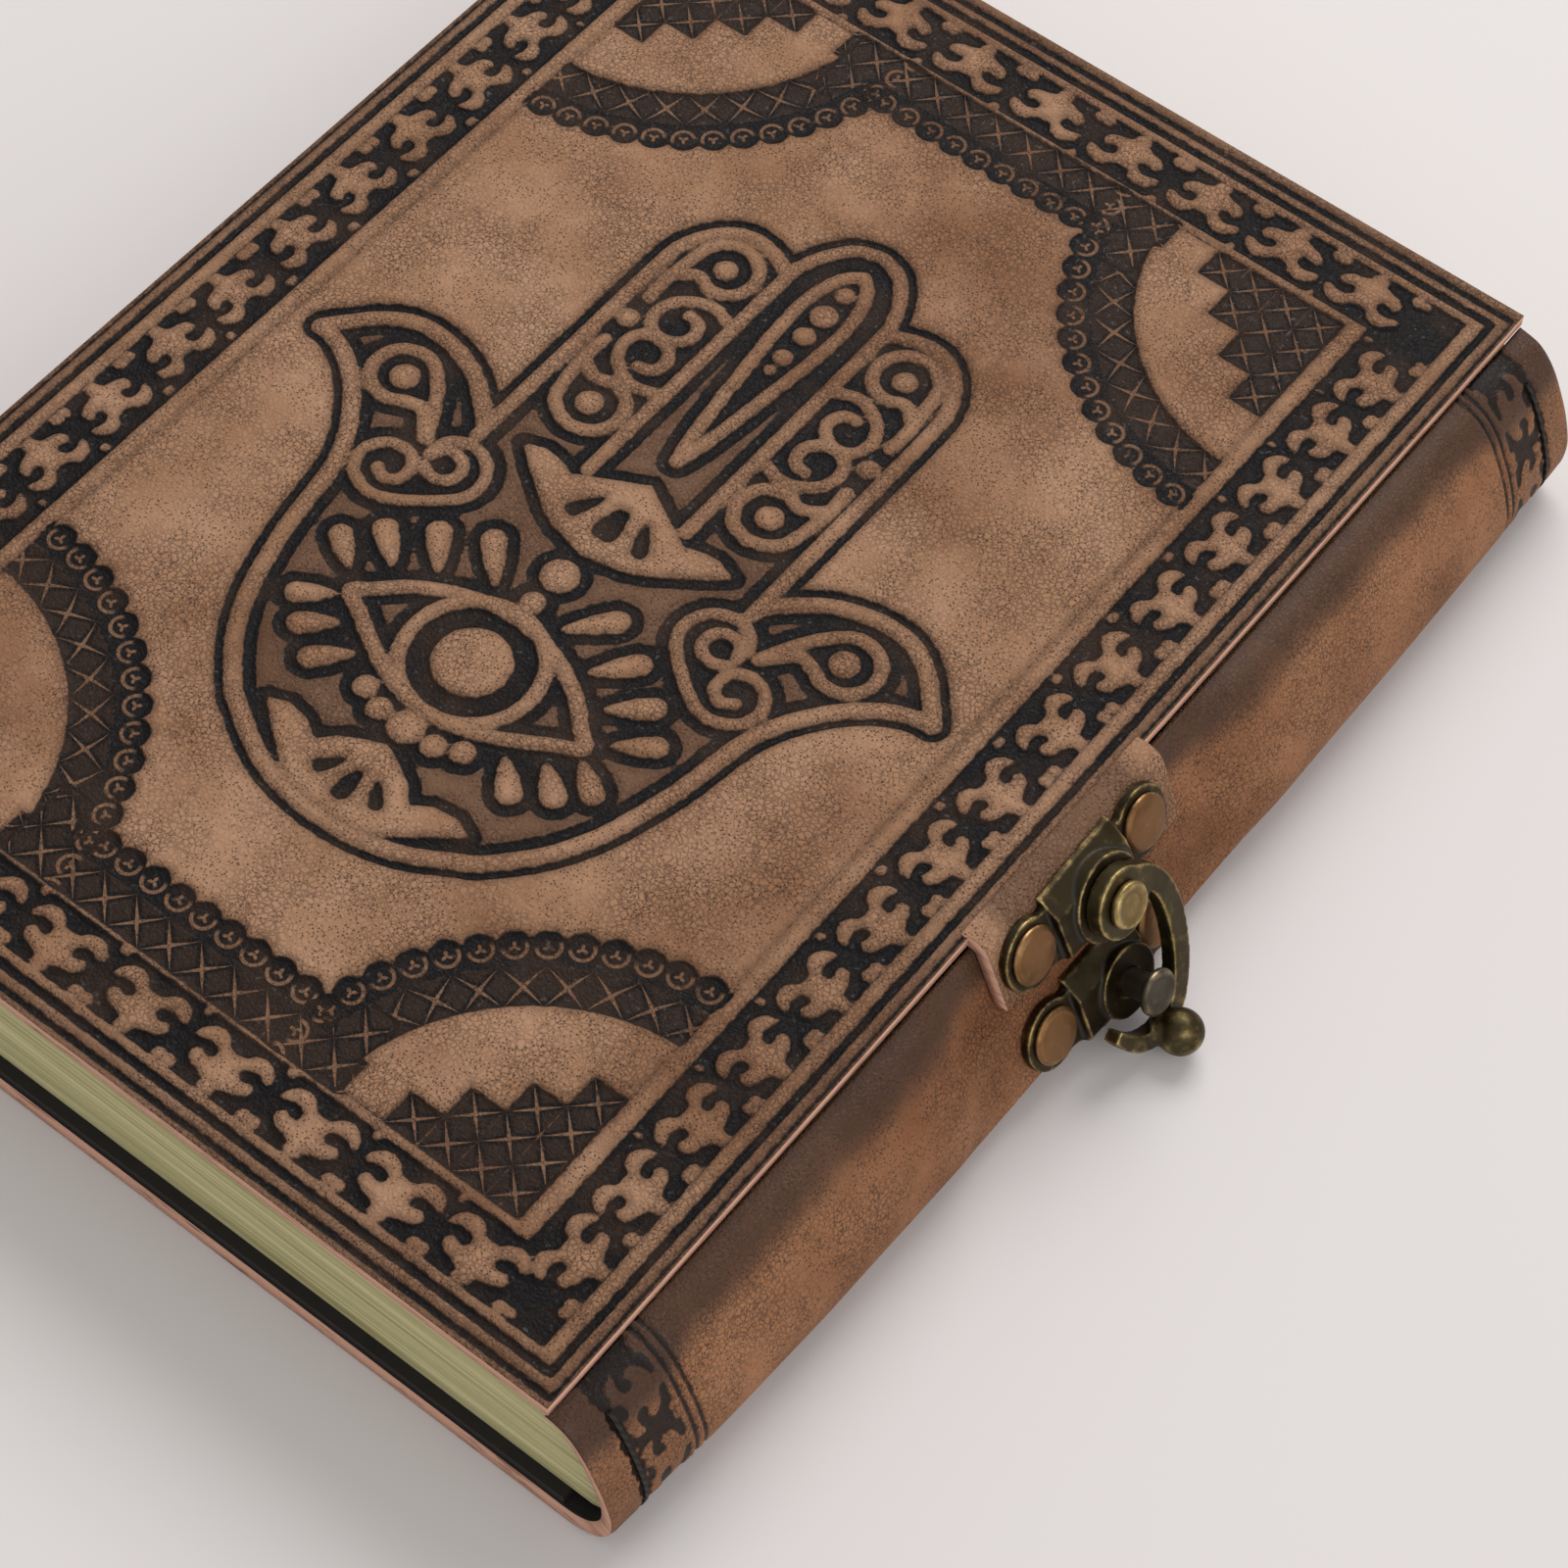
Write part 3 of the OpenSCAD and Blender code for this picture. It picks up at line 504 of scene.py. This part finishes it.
# The pages are thick handmade paper, pale yellow-green, folded into seven sections.
# Single sheets show as fine lines along the cut edges, a little uneven in colour.
paper = Finish("handmade_paper")
sheets = paper.noise(60, 3.0, 0.55, stretch=(0.35, 0.35, 60.0))
loose = paper.noise(30, 3.0, 0.6, stretch=(0.6, 0.6, 9.0))
paper_tone = paper.mixed((0.38, 0.35, 0.17), (0.66, 0.60, 0.33), sheets.step(0.3, 0.65))
paper_tone = paper.tinted(paper_tone, (0.72, 0.70, 0.60), loose.step(0.45, 0.75))
paper.finish(paper_tone, 0.9, sheets, 0.00025, **{"Specular IOR Level": 0.2})
dress(["page_block"], paper.material)

# Waxed linen thread: long stitches hold the sections to the spine, and a fine row
# lies in the groove at each end of the flap.
thread = Finish("waxed_thread")
thread_y, thread_z = thread.parts(thread.place)[1:]
twist = (thread_y * 7000 + thread_z * 5000).math("SINE") * 0.5 + 0.5
thread_colour = thread.mixed((0.006, 0.005, 0.004), (0.026, 0.020, 0.015), twist)
thread.finish(thread_colour, 0.55, twist, 0.00012, **{"Specular IOR Level": 0.25})
dress(["binding_thread", "flap_stitching"], thread.material)

# The front cover is one piece of thick tan leather. Its pattern was pressed in wet,
# then dark dye was rubbed into the hollows and wiped off the raised parts. The
# pattern is worked out as distances in millimetres from the middle of the cover.
cover_top = 25.0
grid_step = 0.5
# Half sizes of the cover's frames, from the field to the last rule: across, along
field = (50.3, 75.9)
border = (59.0, 84.0)
outer_rules = (((60.7, 85.0), (61.75, 86.2)), ((62.75, 87.2), (63.2, 88.1)))
inner_rule = ((47.95, 74.55), (48.3, 74.9))
stained_rim = (61.8, 86.4)
# The arcs of lattice and beads are drawn about the corners of the field
corner = (50.0, 76.0)
crescent_r = 27.0
lattice_half = 2.45
lattice_edge = 75.5
lattice_pitch = (4.62, 4.6)
bead_arc_r = 34.3
bead_row = 68.3
bead_pitch = (3.59, 3.55)
bead_r = 1.95
neck_t = 5.8
# The steps of square stamps begin here and are four cells each way
steps_at = (30.0, 57.2)
step_size = (4.5, 4.4)
step_count = 4
emboss_depth = 0.5


# The hand's lines, on its right half: each is a stroke along a few points
hand_lines = [
    ([(0, 48.4), (3, 47.4), (5.2, 44.8), (6.7, 41.5), (7.1, 38), (7.1, 20), (7.1, 2.5)], 1.8),
    ([(7.6, 39.5), (10.5, 40.8), (13.3, 41.2), (16, 40.3), (18.2, 38), (19.6, 35), (20, 31),
      (19.95, 15), (19.9, -1.8)], 1.9),
    ([(20.4, 0.1), (23, 2.6), (26, 4.8), (30, 6.3), (34, 6.7), (37, 6), (40, 4), (42.3, 1.5),
      (44.3, -0.9), (43, -1.1), (40.5, -1.9), (38, -3.4), (35.5, -5.6), (33.5, -8), (31.5, -11),
      (30, -14.5), (29.2, -18), (28.3, -24), (26.8, -30), (25.1, -35), (22.3, -40), (17.9, -45),
      (15, -46.9), (10, -49.7), (4.5, -51.2), (0, -51.5)], 2.1),
    ([(0, 44.6), (1.9, 42.7), (3.1, 38.5), (3.2, 34), (2.75, 28.5), (2.2, 24), (1.5, 18),
      (0.8, 13), (0, 9.6)], 1.7),
    ([(17.7, 26.4), (17.8, 30), (17.4, 34), (16.6, 37.4), (13.8, 39.2), (10.7, 38.3), (9.3, 35.6),
      (10.2, 32.8), (12.8, 31.7), (15.2, 32.6), (17.3, 31)], 1.7),
    ([(8.3, 29.2), (10.4, 29.9), (12.7, 29.4), (14.8, 27.8), (15.6, 25.4), (14.8, 23.2),
      (12.8, 22.5), (10.8, 23.3), (9.9, 25), (10.6, 26.8), (12.2, 27.2)], 1.6),
    ([(8.3, 15.7), (10.4, 15), (12.7, 15.5), (14.8, 17.1), (15.6, 19.5), (14.8, 21.6),
      (12.8, 22.3), (10.8, 21.5), (9.9, 19.8), (10.6, 18), (12.2, 17.6)], 1.6),
    ([(17.7, 18.3), (17.8, 14.8), (17.4, 11), (16.4, 7.8), (13.2, 6.1), (10.1, 7.2), (8.9, 10),
      (9.9, 12.7), (12.5, 13.9), (15, 13.2), (17.2, 14.4)], 1.7),
    ([(24.2, -5.9), (25.8, -2.6), (28.2, 1), (31.2, 3.3), (34.6, 2.6), (36.1, -0.3), (34.8, -3.3),
      (31.9, -4.2), (29.1, -3), (27, -3), (24.4, -5.8)], 1.7),
    ([(21.9, -8.9), (20, -9.5), (18.2, -8.6), (18, -6.6), (19.4, -5.4), (21.4, -5.6), (22.3, -7.4),
      (22, -4.6), (19.4, -3.2), (16.4, -4.2), (14.9, -7), (15.6, -9.8), (18.6, -12.6),
      (22.2, -15), (25, -15.5), (27.8, -14), (28.7, -11.4), (27.4, -9), (24.8, -8.3),
      (22.9, -9.5), (22.7, -11.8), (24.2, -13), (25.8, -12.2)], 1.5),
    ([(0, -18.3), (4, -18.9), (8, -20.3), (12, -22.6), (15, -25.4), (16.8, -27.1), (14, -28.7),
      (10.5, -30.8), (7, -32.6), (3, -33.9), (0, -34.2)], 1.8)]
hand_dots = [(13.2, 35.2, 1.5), (17.6, 22.5, 1.4), (13.1, 10, 1.7), (31.9, -0.5, 1.8),
             (0, -11, 2.3), (0, -15.7, 1.5), (0, -26, 4.6), (0, -37, 2.2), (3.9, -37, 1.5),
             (6.9, -35.7, 1.5), (0, 41, 1.2), (0, 37, 1.7), (0, 33.2, 1.4), (0, 29.2, 1.2),
             (0, 26.8, 0.8)]
hand_seeds = [((5, -16.3), (8.9, -11.8), 1.5), ((11, -18.9), (14.4, -14.8), 1.5),
              ((15.5, -21.5), (19.3, -18.3), 1.5), ((19, -24.8), (22.7, -22), 1.4),
              ((17.8, -28.6), (21.2, -31), 1.4), ((15, -31.3), (18.2, -33.9), 1.5),
              ((11, -33.4), (14.2, -36.6), 1.5)]
flowers = [[(0, 5.2), (6, 2), (8.2, 0.8), (10, 1.5), (12.5, 1.8), (15.2, 0.8), (12.5, -1.5),
            (10, -3.2), (7.5, -5), (5, -6.2), (0, -7.3)],
           [(0, -40), (3, -41.3), (5, -42.5), (6.8, -44.4), (9, -43), (12, -42.5), (14.5, -43.6),
            (12.3, -45.3), (9.5, -47.5), (7, -49.5), (5, -50.5), (0, -50.7)]]
flower_seeds = [((0.4, 0.4), (0.4, -3.2), 1.2), ((3.1, 0.4), (4.8, -2.9), 1.0),
                ((0.2, -44.6), (0, -47.7), 1.1), ((2.3, -44.3), (4, -46.6), 0.9)]
hand_outline = [(0, 49.3), (5.6, 46.4), (8, 40.6), (14, 42.2), (19.5, 38), (21, 31), (21, 2),
                (26, 6), (32, 7.8), (39, 6.4), (45.4, -1.2), (40, -3.2), (34.5, -8.2), (31, -15),
                (29.4, -25), (26.2, -35), (22.8, -41), (16, -47.6), (8, -51.5), (0, -52.6)]


def hand_distance(x, y):
    d = np.full(x.shape, 99.0)
    for points, width in hand_lines:
        d = np.minimum(d, from_line(x, y, points, width, pieces=4))
    for dot in hand_dots:
        d = np.minimum(d, from_dot(x, y, *dot))
    d = np.minimum(d, np.abs(np.hypot(x, y + 26) - 8.2) - 0.9)
    for seed in hand_seeds:
        d = np.minimum(d, from_drop(x, y, *seed))
    for flower in flowers:
        d = np.minimum(d, from_shape(x, y, [(-a, b) for a, b in flower[:0:-1]] + flower))
    for seed in flower_seeds:
        d = np.maximum(d, -from_drop(x, y, *seed))
    return d


def frame_line(x, y, inner, outer):
    """Distance to a rectangular frame between two half sizes."""
    return np.maximum(np.maximum(x - outer[0], y - outer[1]), -np.maximum(x - inner[0], y - inner[1]))


def cover_pattern(u, v):
    """For points of the cover in millimetres: the distance to the dyed hollows, the tone
    of the wide grounds, the place in the cross bands, and where crosses and beads are."""
    n = len(u)
    x, y = np.abs(u - 0.1), v
    ux, vy = np.abs(u), np.abs(v + 0.25)
    hollow = np.full(n, 9.0)
    tone = np.zeros(n)
    raised = np.full(n, 9.0)
    near_hand = (x < 49) & (y < 53) & (y > -56)
    hx, hy = x[near_hand], y[near_hand]
    hand = hand_distance(hx, hy)
    area = from_shape(hx, hy, hand_outline + [(-a, b) for a, b in hand_outline[::-1]])
    groove = hand - np.where(area < 0, 1.5, 1.05)
    hollow[near_hand] = np.maximum(groove, -hand)
    raised[near_hand] = hand
    tone[near_hand] = smooth((0.6 - area) / 0.8) * smooth((hand - 1.0) / 0.8)
    # Border band with its stamps, and the double rule outside it
    ground = frame_line(ux, vy, field, border)
    side_stamps = stamp_distance(ux - 54.9, v, stamps_long)
    end_stamps = stamp_distance(vy - 79.9, u, stamps_short, 1.13)
    stamps = np.where(vy - field[1] > ux - field[0], end_stamps, side_stamps)
    bands = np.maximum(ground, -stamps)
    for inner, outer in outer_rules:
        bands = np.minimum(bands, frame_line(ux, vy, inner, outer))
    bands = np.minimum(bands, frame_line(ux, vy, *inner_rule) + 0.1)
    tone = np.maximum(tone, 0.6 * smooth(np.maximum(ux - stained_rim[0], vy - stained_rim[1]) / 0.5))
    # Lattice of crosses and the beads beside it: an arc in each corner, a straight
    # run between them at the two short ends
    dx, dy = corner[0] - ux, corner[1] - vy
    radius = np.hypot(dx, dy)
    angle = np.arctan2(dy, dx)
    straight = (ux < 23.5) & (vy > 65)
    in_frame = np.maximum(ux - 48.3, vy - 75.0)
    arc_t = radius - crescent_r
    run_t = lattice_edge - vy
    lattice = np.maximum(np.abs(arc_t - lattice_half) - lattice_half, in_frame)
    run = np.maximum(np.abs(run_t - lattice_half) - lattice_half, ux - 24.5)
    lattice = np.minimum(lattice, run)
    arc_bead = angle * bead_arc_r / bead_pitch[0]
    run_bead = (u + 100) / bead_pitch[1]
    arc_gap = np.hypot(radius - bead_arc_r, (arc_bead - np.round(arc_bead)) * bead_pitch[0])
    run_gap = np.hypot(vy - bead_row, (run_bead - np.round(run_bead)) * bead_pitch[1])
    arc_gap = np.where(in_frame < 0.5, arc_gap, 9)
    run_gap = np.where(ux < 18.5, run_gap, 9)
    beads = np.minimum(arc_gap, run_gap) - bead_r
    neck = np.maximum(np.abs(arc_t - neck_t) - 1.0, in_frame)
    neck = np.minimum(neck, np.maximum(np.abs(run_t - neck_t) - 1.0, ux - 19))
    bands = np.minimum(bands, np.minimum(np.minimum(lattice, neck), beads))
    # Steps of square stamps in each corner
    cell_x, cell_y = (ux - steps_at[0]) / step_size[0], (vy - steps_at[1]) / step_size[1]
    col, row = np.floor(cell_x), np.floor(cell_y)
    stepped = (col >= 0) & (row >= 0) & (col < step_count) & (row < step_count)
    stepped = stepped & (col + row >= step_count - 1) & (ux < 48) & (vy < 74.8)
    step_d = np.full(n, 9.0)
    for i in range(step_count):
        for j in range(step_count - 1 - i, step_count):
            cx, cy = steps_at[0] + step_size[0] * (i + 0.5), steps_at[1] + step_size[1] * (j + 0.5)
            step_d = np.minimum(step_d, np.maximum(np.abs(ux - cx) - 2.3, np.abs(vy - cy) - 2.25))
    bands = np.minimum(bands, step_d)
    hollow = np.minimum(hollow, bands)
    along_arc = angle * (crescent_r + lattice_half) / lattice_pitch[0]
    weave_s = np.where(straight, (u + 100) / lattice_pitch[1], along_arc)
    weave_t = np.where(straight & (run_t < arc_t + 20), run_t, arc_t) / (2 * lattice_half)
    weave_s = np.where(stepped, cell_x, weave_s)
    weave_t = np.where(stepped, cell_y, weave_t)
    bead_s = np.where(run_gap < arc_gap, run_bead, arc_bead)
    bead_q = np.where(run_gap < arc_gap, vy - bead_row, bead_arc_r - radius)
    cross = (lattice < 0.1) | (step_d < 0)
    return hollow, tone, weave_s, weave_t, bead_s, bead_q, cross, beads < 0.2, raised


bm = bmesh.new()
bmesh.ops.create_grid(
    bm, x_segments=round(cover_w / grid_step), y_segments=round(cover_l / grid_step), size=1.0)
bmesh.ops.scale(bm, vec=(cover_w / 2000, cover_l / 2000, 1.0), verts=bm.verts)
bmesh.ops.translate(bm, vec=(0.0, 0.0, cover_top / 1000), verts=bm.verts)
places = np.array([v.co for v in bm.verts]) * 1000
hollow, tone, weave_s, weave_t, bead_s, bead_q, cross, bead, raised = cover_pattern(
    places[:, 0], places[:, 1])
press = smooth((0.35 - hollow) / 0.7)
to_edge = np.minimum(cover_w / 2 - np.abs(places[:, 0]), cover_l / 2 - np.abs(places[:, 1]))
under_tongue = (places[:, 0] > 60) & (places[:, 1] > -20.4) & (places[:, 1] < 12.4)
round_off = np.where(under_tongue, 0.0, 0.12 * smooth(1 - to_edge / 0.5))
sink = emboss_depth * press + 0.18 * tone + 0.08 * smooth(1 - np.maximum(-raised, 0) / 0.8) * (raised < 0.3)
for vert, depth in zip(bm.verts, sink + round_off):
    vert.co.z -= depth * 0.001
mark(
    bm, hollow=np.clip(hollow, -3, 4), tone=tone, weave_s=weave_s, weave_t=weave_t, bead_s=bead_s,
    bead_q=bead_q, cross=cross.astype(float), bead=bead.astype(float))
edge = [e for e in bm.edges if e.is_boundary]
sides = bmesh.ops.extrude_edge_only(bm, edges=edge)["geom"]
side_verts = [g for g in sides if isinstance(g, bmesh.types.BMVert)]
for vert in side_verts:
    vert.co.z = (cover_top - leather) / 1000
side_faces = [g for g in sides if isinstance(g, bmesh.types.BMFace)]
side_edges = [e for e in bm.edges if e.is_boundary]
bottom = bmesh.ops.contextual_create(bm, geom=side_edges)["faces"]
for face in side_faces + bottom:
    face.material_index = 1
bmesh.ops.translate(bm, vec=(-middle_x, 0.0, 0.0), verts=bm.verts)
bmesh.ops.recalc_face_normals(bm, faces=bm.faces)

dyed = Finish("dyed_leather")
hollow_here = dyed.value("hollow")
wobble = dyed.noise(900, 2.0) - 0.5
stain = (hollow_here + wobble * 0.45).step(0.14, -0.14)
# Painted shade: the leather is darkened in a soft band round every dyed hollow, as though the relief shaded
# it.
painted_shade_halo = (hollow_here + wobble * 1.2).step(1.3, -0.2)
s, t = dyed.value("weave_s"), dyed.value("weave_t")
fs, ft = s.math("FRACT"), t.math("FRACT")
crosses = (abs(fs - ft)).low(abs(fs + ft - 1))
taper = (0.48 - abs(fs - 0.5)) * 0.15
in_cross = dyed.value("cross").step(0.4, 0.6)
cross_lines = (crosses - taper).step(0.02, -0.012) * in_cross
bead_x = (dyed.value("bead_s") + 0.5).math("FRACT") - 0.5
bead_y = dyed.value("bead_q") / bead_pitch[1]
bead_d = (bead_x * bead_x + bead_y * bead_y).math("SQRT")
petals = (bead_y.math("ARCTAN2", bead_x) * 3.0).math("SINE") * 0.07 + 0.12
bead_lines = abs(bead_d - 0.37).step(0.09, 0.04) * (bead_y + bead_x * 0.3).step(-0.14, 0.06)
bead_lines = bead_lines.high((bead_d - petals).step(0.03, -0.02))
bead_lines = bead_lines * dyed.value("bead").step(0.4, 0.6)
lines = (cross_lines.high(bead_lines)) * dyed.noise(420, 2.0).step(0.2, 0.42)
hide, grain = tanned(dyed, (0.405, 0.233, 0.140), (0.31, 0.163, 0.088))
# This thin brown is used for the dye of the wide grounds and for the painted shade round the hollows.
dye_and_shade_brown = (0.060, 0.030, 0.018)
hide = dyed.mixed(hide, dye_and_shade_brown, painted_shade_halo * 0.45)
hide = dyed.mixed(hide, dye_and_shade_brown, dyed.value("tone") * 0.66)
brown = dyed.noise(130, 4.0).step(0.42, 0.72).high((crosses - taper).step(0.05, 0.2) * in_cross * 0.9)
ink = dyed.mixed((0.0035, 0.0025, 0.0025), (0.026, 0.0135, 0.008), brown)
dark = stain * (1 - lines * 0.85)
cover_colour = dyed.mixed(hide, ink, dark)
cover_bump = grain * (1 - dark * 0.3) + lines * 0.9
glints = dark * dyed.noise(1500, 2.0).step(0.62, 0.74)
dyed.finish(
    cover_colour, 0.66 - dark * 0.14, cover_bump, 0.00012,
    **{"Specular IOR Level": 0.12, "Coat Weight": glints * 0.25, "Coat Roughness": 0.25})

front = new_piece("front_cover_leather", bm, [dyed.material, raw.material], "front")
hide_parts("front_cover")

# The tongue is one with the front cover: it bends over the cover's edge and lies
# against the flap, where the upper clasp plate is riveted to it.
tongue_y = (-20.1, 11.9)
bend_out = 2.5
foot = 3.4
corner_x = clasp_x - (cover_top - clasp_z) / cos(lean) * sin(lean)
fold_x = corner_x - bend_out * tan((pi / 2 - lean) / 2)
fold = np.radians(np.linspace(90, 23, 10))
tongue_line = np.vstack([
    [[62.6, cover_top]],
    np.stack([fold_x + bend_out * np.cos(fold), cover_top - bend_out + bend_out * np.sin(fold)], axis=1),
    [[clasp_x + foot * sin(lean), clasp_z - foot * cos(lean)]]])
tongue_run = np.concatenate([[0], np.cumsum(np.hypot(*np.diff(tongue_line, axis=0).T))])
bm = bmesh.new()
bmesh.ops.create_grid(bm, x_segments=40, y_segments=80, size=1.0)
spots = np.array([v.co for v in bm.verts])
run = (spots[:, 0] + 1) / 2 * tongue_run[-1]
y = tongue_y[0] + (spots[:, 1] + 1) / 2 * (tongue_y[1] - tongue_y[0])
x = np.interp(run, tongue_run, tongue_line[:, 0])
z = np.interp(run, tongue_run, tongue_line[:, 1])
for vert, px, py, pz in zip(bm.verts, x, y, z):
    vert.co = in_metres(px, py, pz)
side = np.minimum(y - tongue_y[0], tongue_y[1] - y)
mark(bm, hollow=np.full(len(run), 3.0), tone=smooth((side - 1.5) / 4) * 0.9)
bmesh.ops.recalc_face_normals(bm, faces=bm.faces)
if sum(f.normal.z for f in bm.faces) < 0:
    bmesh.ops.reverse_faces(bm, faces=bm.faces)
tongue = new_piece("tongue_leather", bm, [dyed.material, raw.material], "front")
thicken(tongue, leather / 1000, inside=1, rim=1)

# Where the sheet turns from the spine into the front cover, a thin skin of the same
# leather crosses the hinge line.
fold_low, fold_high = 19.5, 24.7
fold_face_x = -63.56
bm = bmesh.new()
bmesh.ops.create_grid(bm, x_segments=24, y_segments=60, size=1.0)
for vert in bm.verts:
    up = fold_low + (vert.co.x + 1) / 2 * (fold_high - fold_low)
    vert.co = in_metres(fold_face_x, vert.co.y * 88.9, up)
mark(bm, hollow=np.full(len(bm.verts), 3.0), tone=np.full(len(bm.verts), 0.35))
bmesh.ops.recalc_face_normals(bm, faces=bm.faces)
if sum(f.normal.x for f in bm.faces) > 0:
    bmesh.ops.reverse_faces(bm, faces=bm.faces)
hinge_skin = new_piece("spine_fold", bm, [wrap_skin.material])
thicken(hinge_skin, 0.0001)
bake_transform(hinge_skin)

# The clasp is cast brass, dark with age and rubbed bright on its raised edges. Each
# plate is held by two domed copper rivets, and the hook swings on a headed pin.


def cast(node, name, cell, rounds, finish, body):
    """The node's metal with the soft edges of a casting, and how far each point stands out."""
    bm = bmesh.new()
    bm.from_mesh(solids[node].data)
    bmesh.ops.remove_doubles(bm, verts=bm.verts, dist=0.000001)
    rough = new_piece(name + "_pattern", bm, [])
    skin = rough.modifiers.new("skin", "REMESH")
    skin.mode = "VOXEL"
    skin.voxel_size = cell
    ready = rough.evaluated_get(bpy.context.evaluated_depsgraph_get())
    mesh = bpy.data.meshes.new_from_object(ready)
    bpy.data.objects.remove(rough)
    bm = bmesh.new()
    bm.from_mesh(mesh)
    for _ in range(rounds):
        bmesh.ops.smooth_vert(
            bm, verts=bm.verts, factor=0.5, use_axis_x=True, use_axis_y=True, use_axis_z=True)
    bm.normal_update()
    proud = []
    for vert in bm.verts:
        around = sum((e.other_vert(vert).co for e in vert.link_edges), Vector()) / len(vert.link_edges)
        proud.append((vert.co - around).dot(vert.normal) / cell)
    layer = bm.verts.layers.float.new("proud")
    for vert, value in zip(bm.verts, proud):
        near = [proud[e.other_vert(vert).index] for e in vert.link_edges]
        vert[layer] = (value + sum(near)) / (1 + len(near))
    piece = new_piece(name, bm, [finish.material], body)
    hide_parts(node)
    return piece


def old_metal(name, dark, bright, roughness, wear):
    """Metal darkened in its corners and rubbed bright where it stands proud."""
    metal = Finish(name)
    proud = metal.value("proud")
    smear = metal.noise(420, 4.0, 0.65)
    cloud = metal.noise(160, 3.0)
    rubbed = (proud * 6.0 + (smear - 0.5) * 1.7 + wear).step(0.10, 1.0)
    hidden = (proud * 10.0 - (smear - 0.5) * 0.5).step(-0.15, -0.6)
    colour = metal.mixed(dark, bright, rubbed)
    colour = metal.tinted(colour, (0.62, 0.58, 0.5), cloud.step(0.4, 0.7))
    colour = metal.mixed(colour, (0.012, 0.010, 0.008), hidden * 0.85)
    metal.finish(
        colour, roughness + (1 - rubbed) * 0.14 + cloud * 0.08, smear, 0.00005,
        Metallic=1.0 - hidden * 0.6)
    return metal


plate_brass = old_metal("plate_brass", (0.052, 0.040, 0.022), (0.50, 0.36, 0.15), 0.30, 0.0)
hook_brass = old_metal("hook_brass", (0.075, 0.060, 0.030), (0.58, 0.42, 0.17), 0.30, 0.08)
pin_brass = old_metal("pin_brass", (0.22, 0.155, 0.06), (0.62, 0.46, 0.2), 0.28, 0.2)
post_metal = old_metal("post_metal", (0.10, 0.085, 0.065), (0.45, 0.36, 0.22), 0.32, 0.0)
rivet_copper = old_metal("rivet_copper", (0.24, 0.125, 0.055), (0.58, 0.36, 0.16), 0.33, 0.05)
cast("lower_plate", "lower_plate_casting", 0.00018, 3, plate_brass, "back")
cast("upper_plate", "upper_plate_casting", 0.00018, 3, plate_brass, "front")
cast("swing_hook", "swing_hook_casting", 0.00018, 4, hook_brass, "hook")
cast("latch_post", "latch_post_turned", 0.00013, 2, post_metal, "back")
cast("pivot_pin", "pivot_pin_turned", 0.00013, 2, pin_brass, "front")
cast("lower_rivets", "lower_rivet_heads", 0.00015, 2, rivet_copper, "back")
cast("upper_rivets", "upper_rivet_heads", 0.00015, 2, rivet_copper, "front")
dress(["lower_burrs", "upper_burrs"], rivet_copper.material)
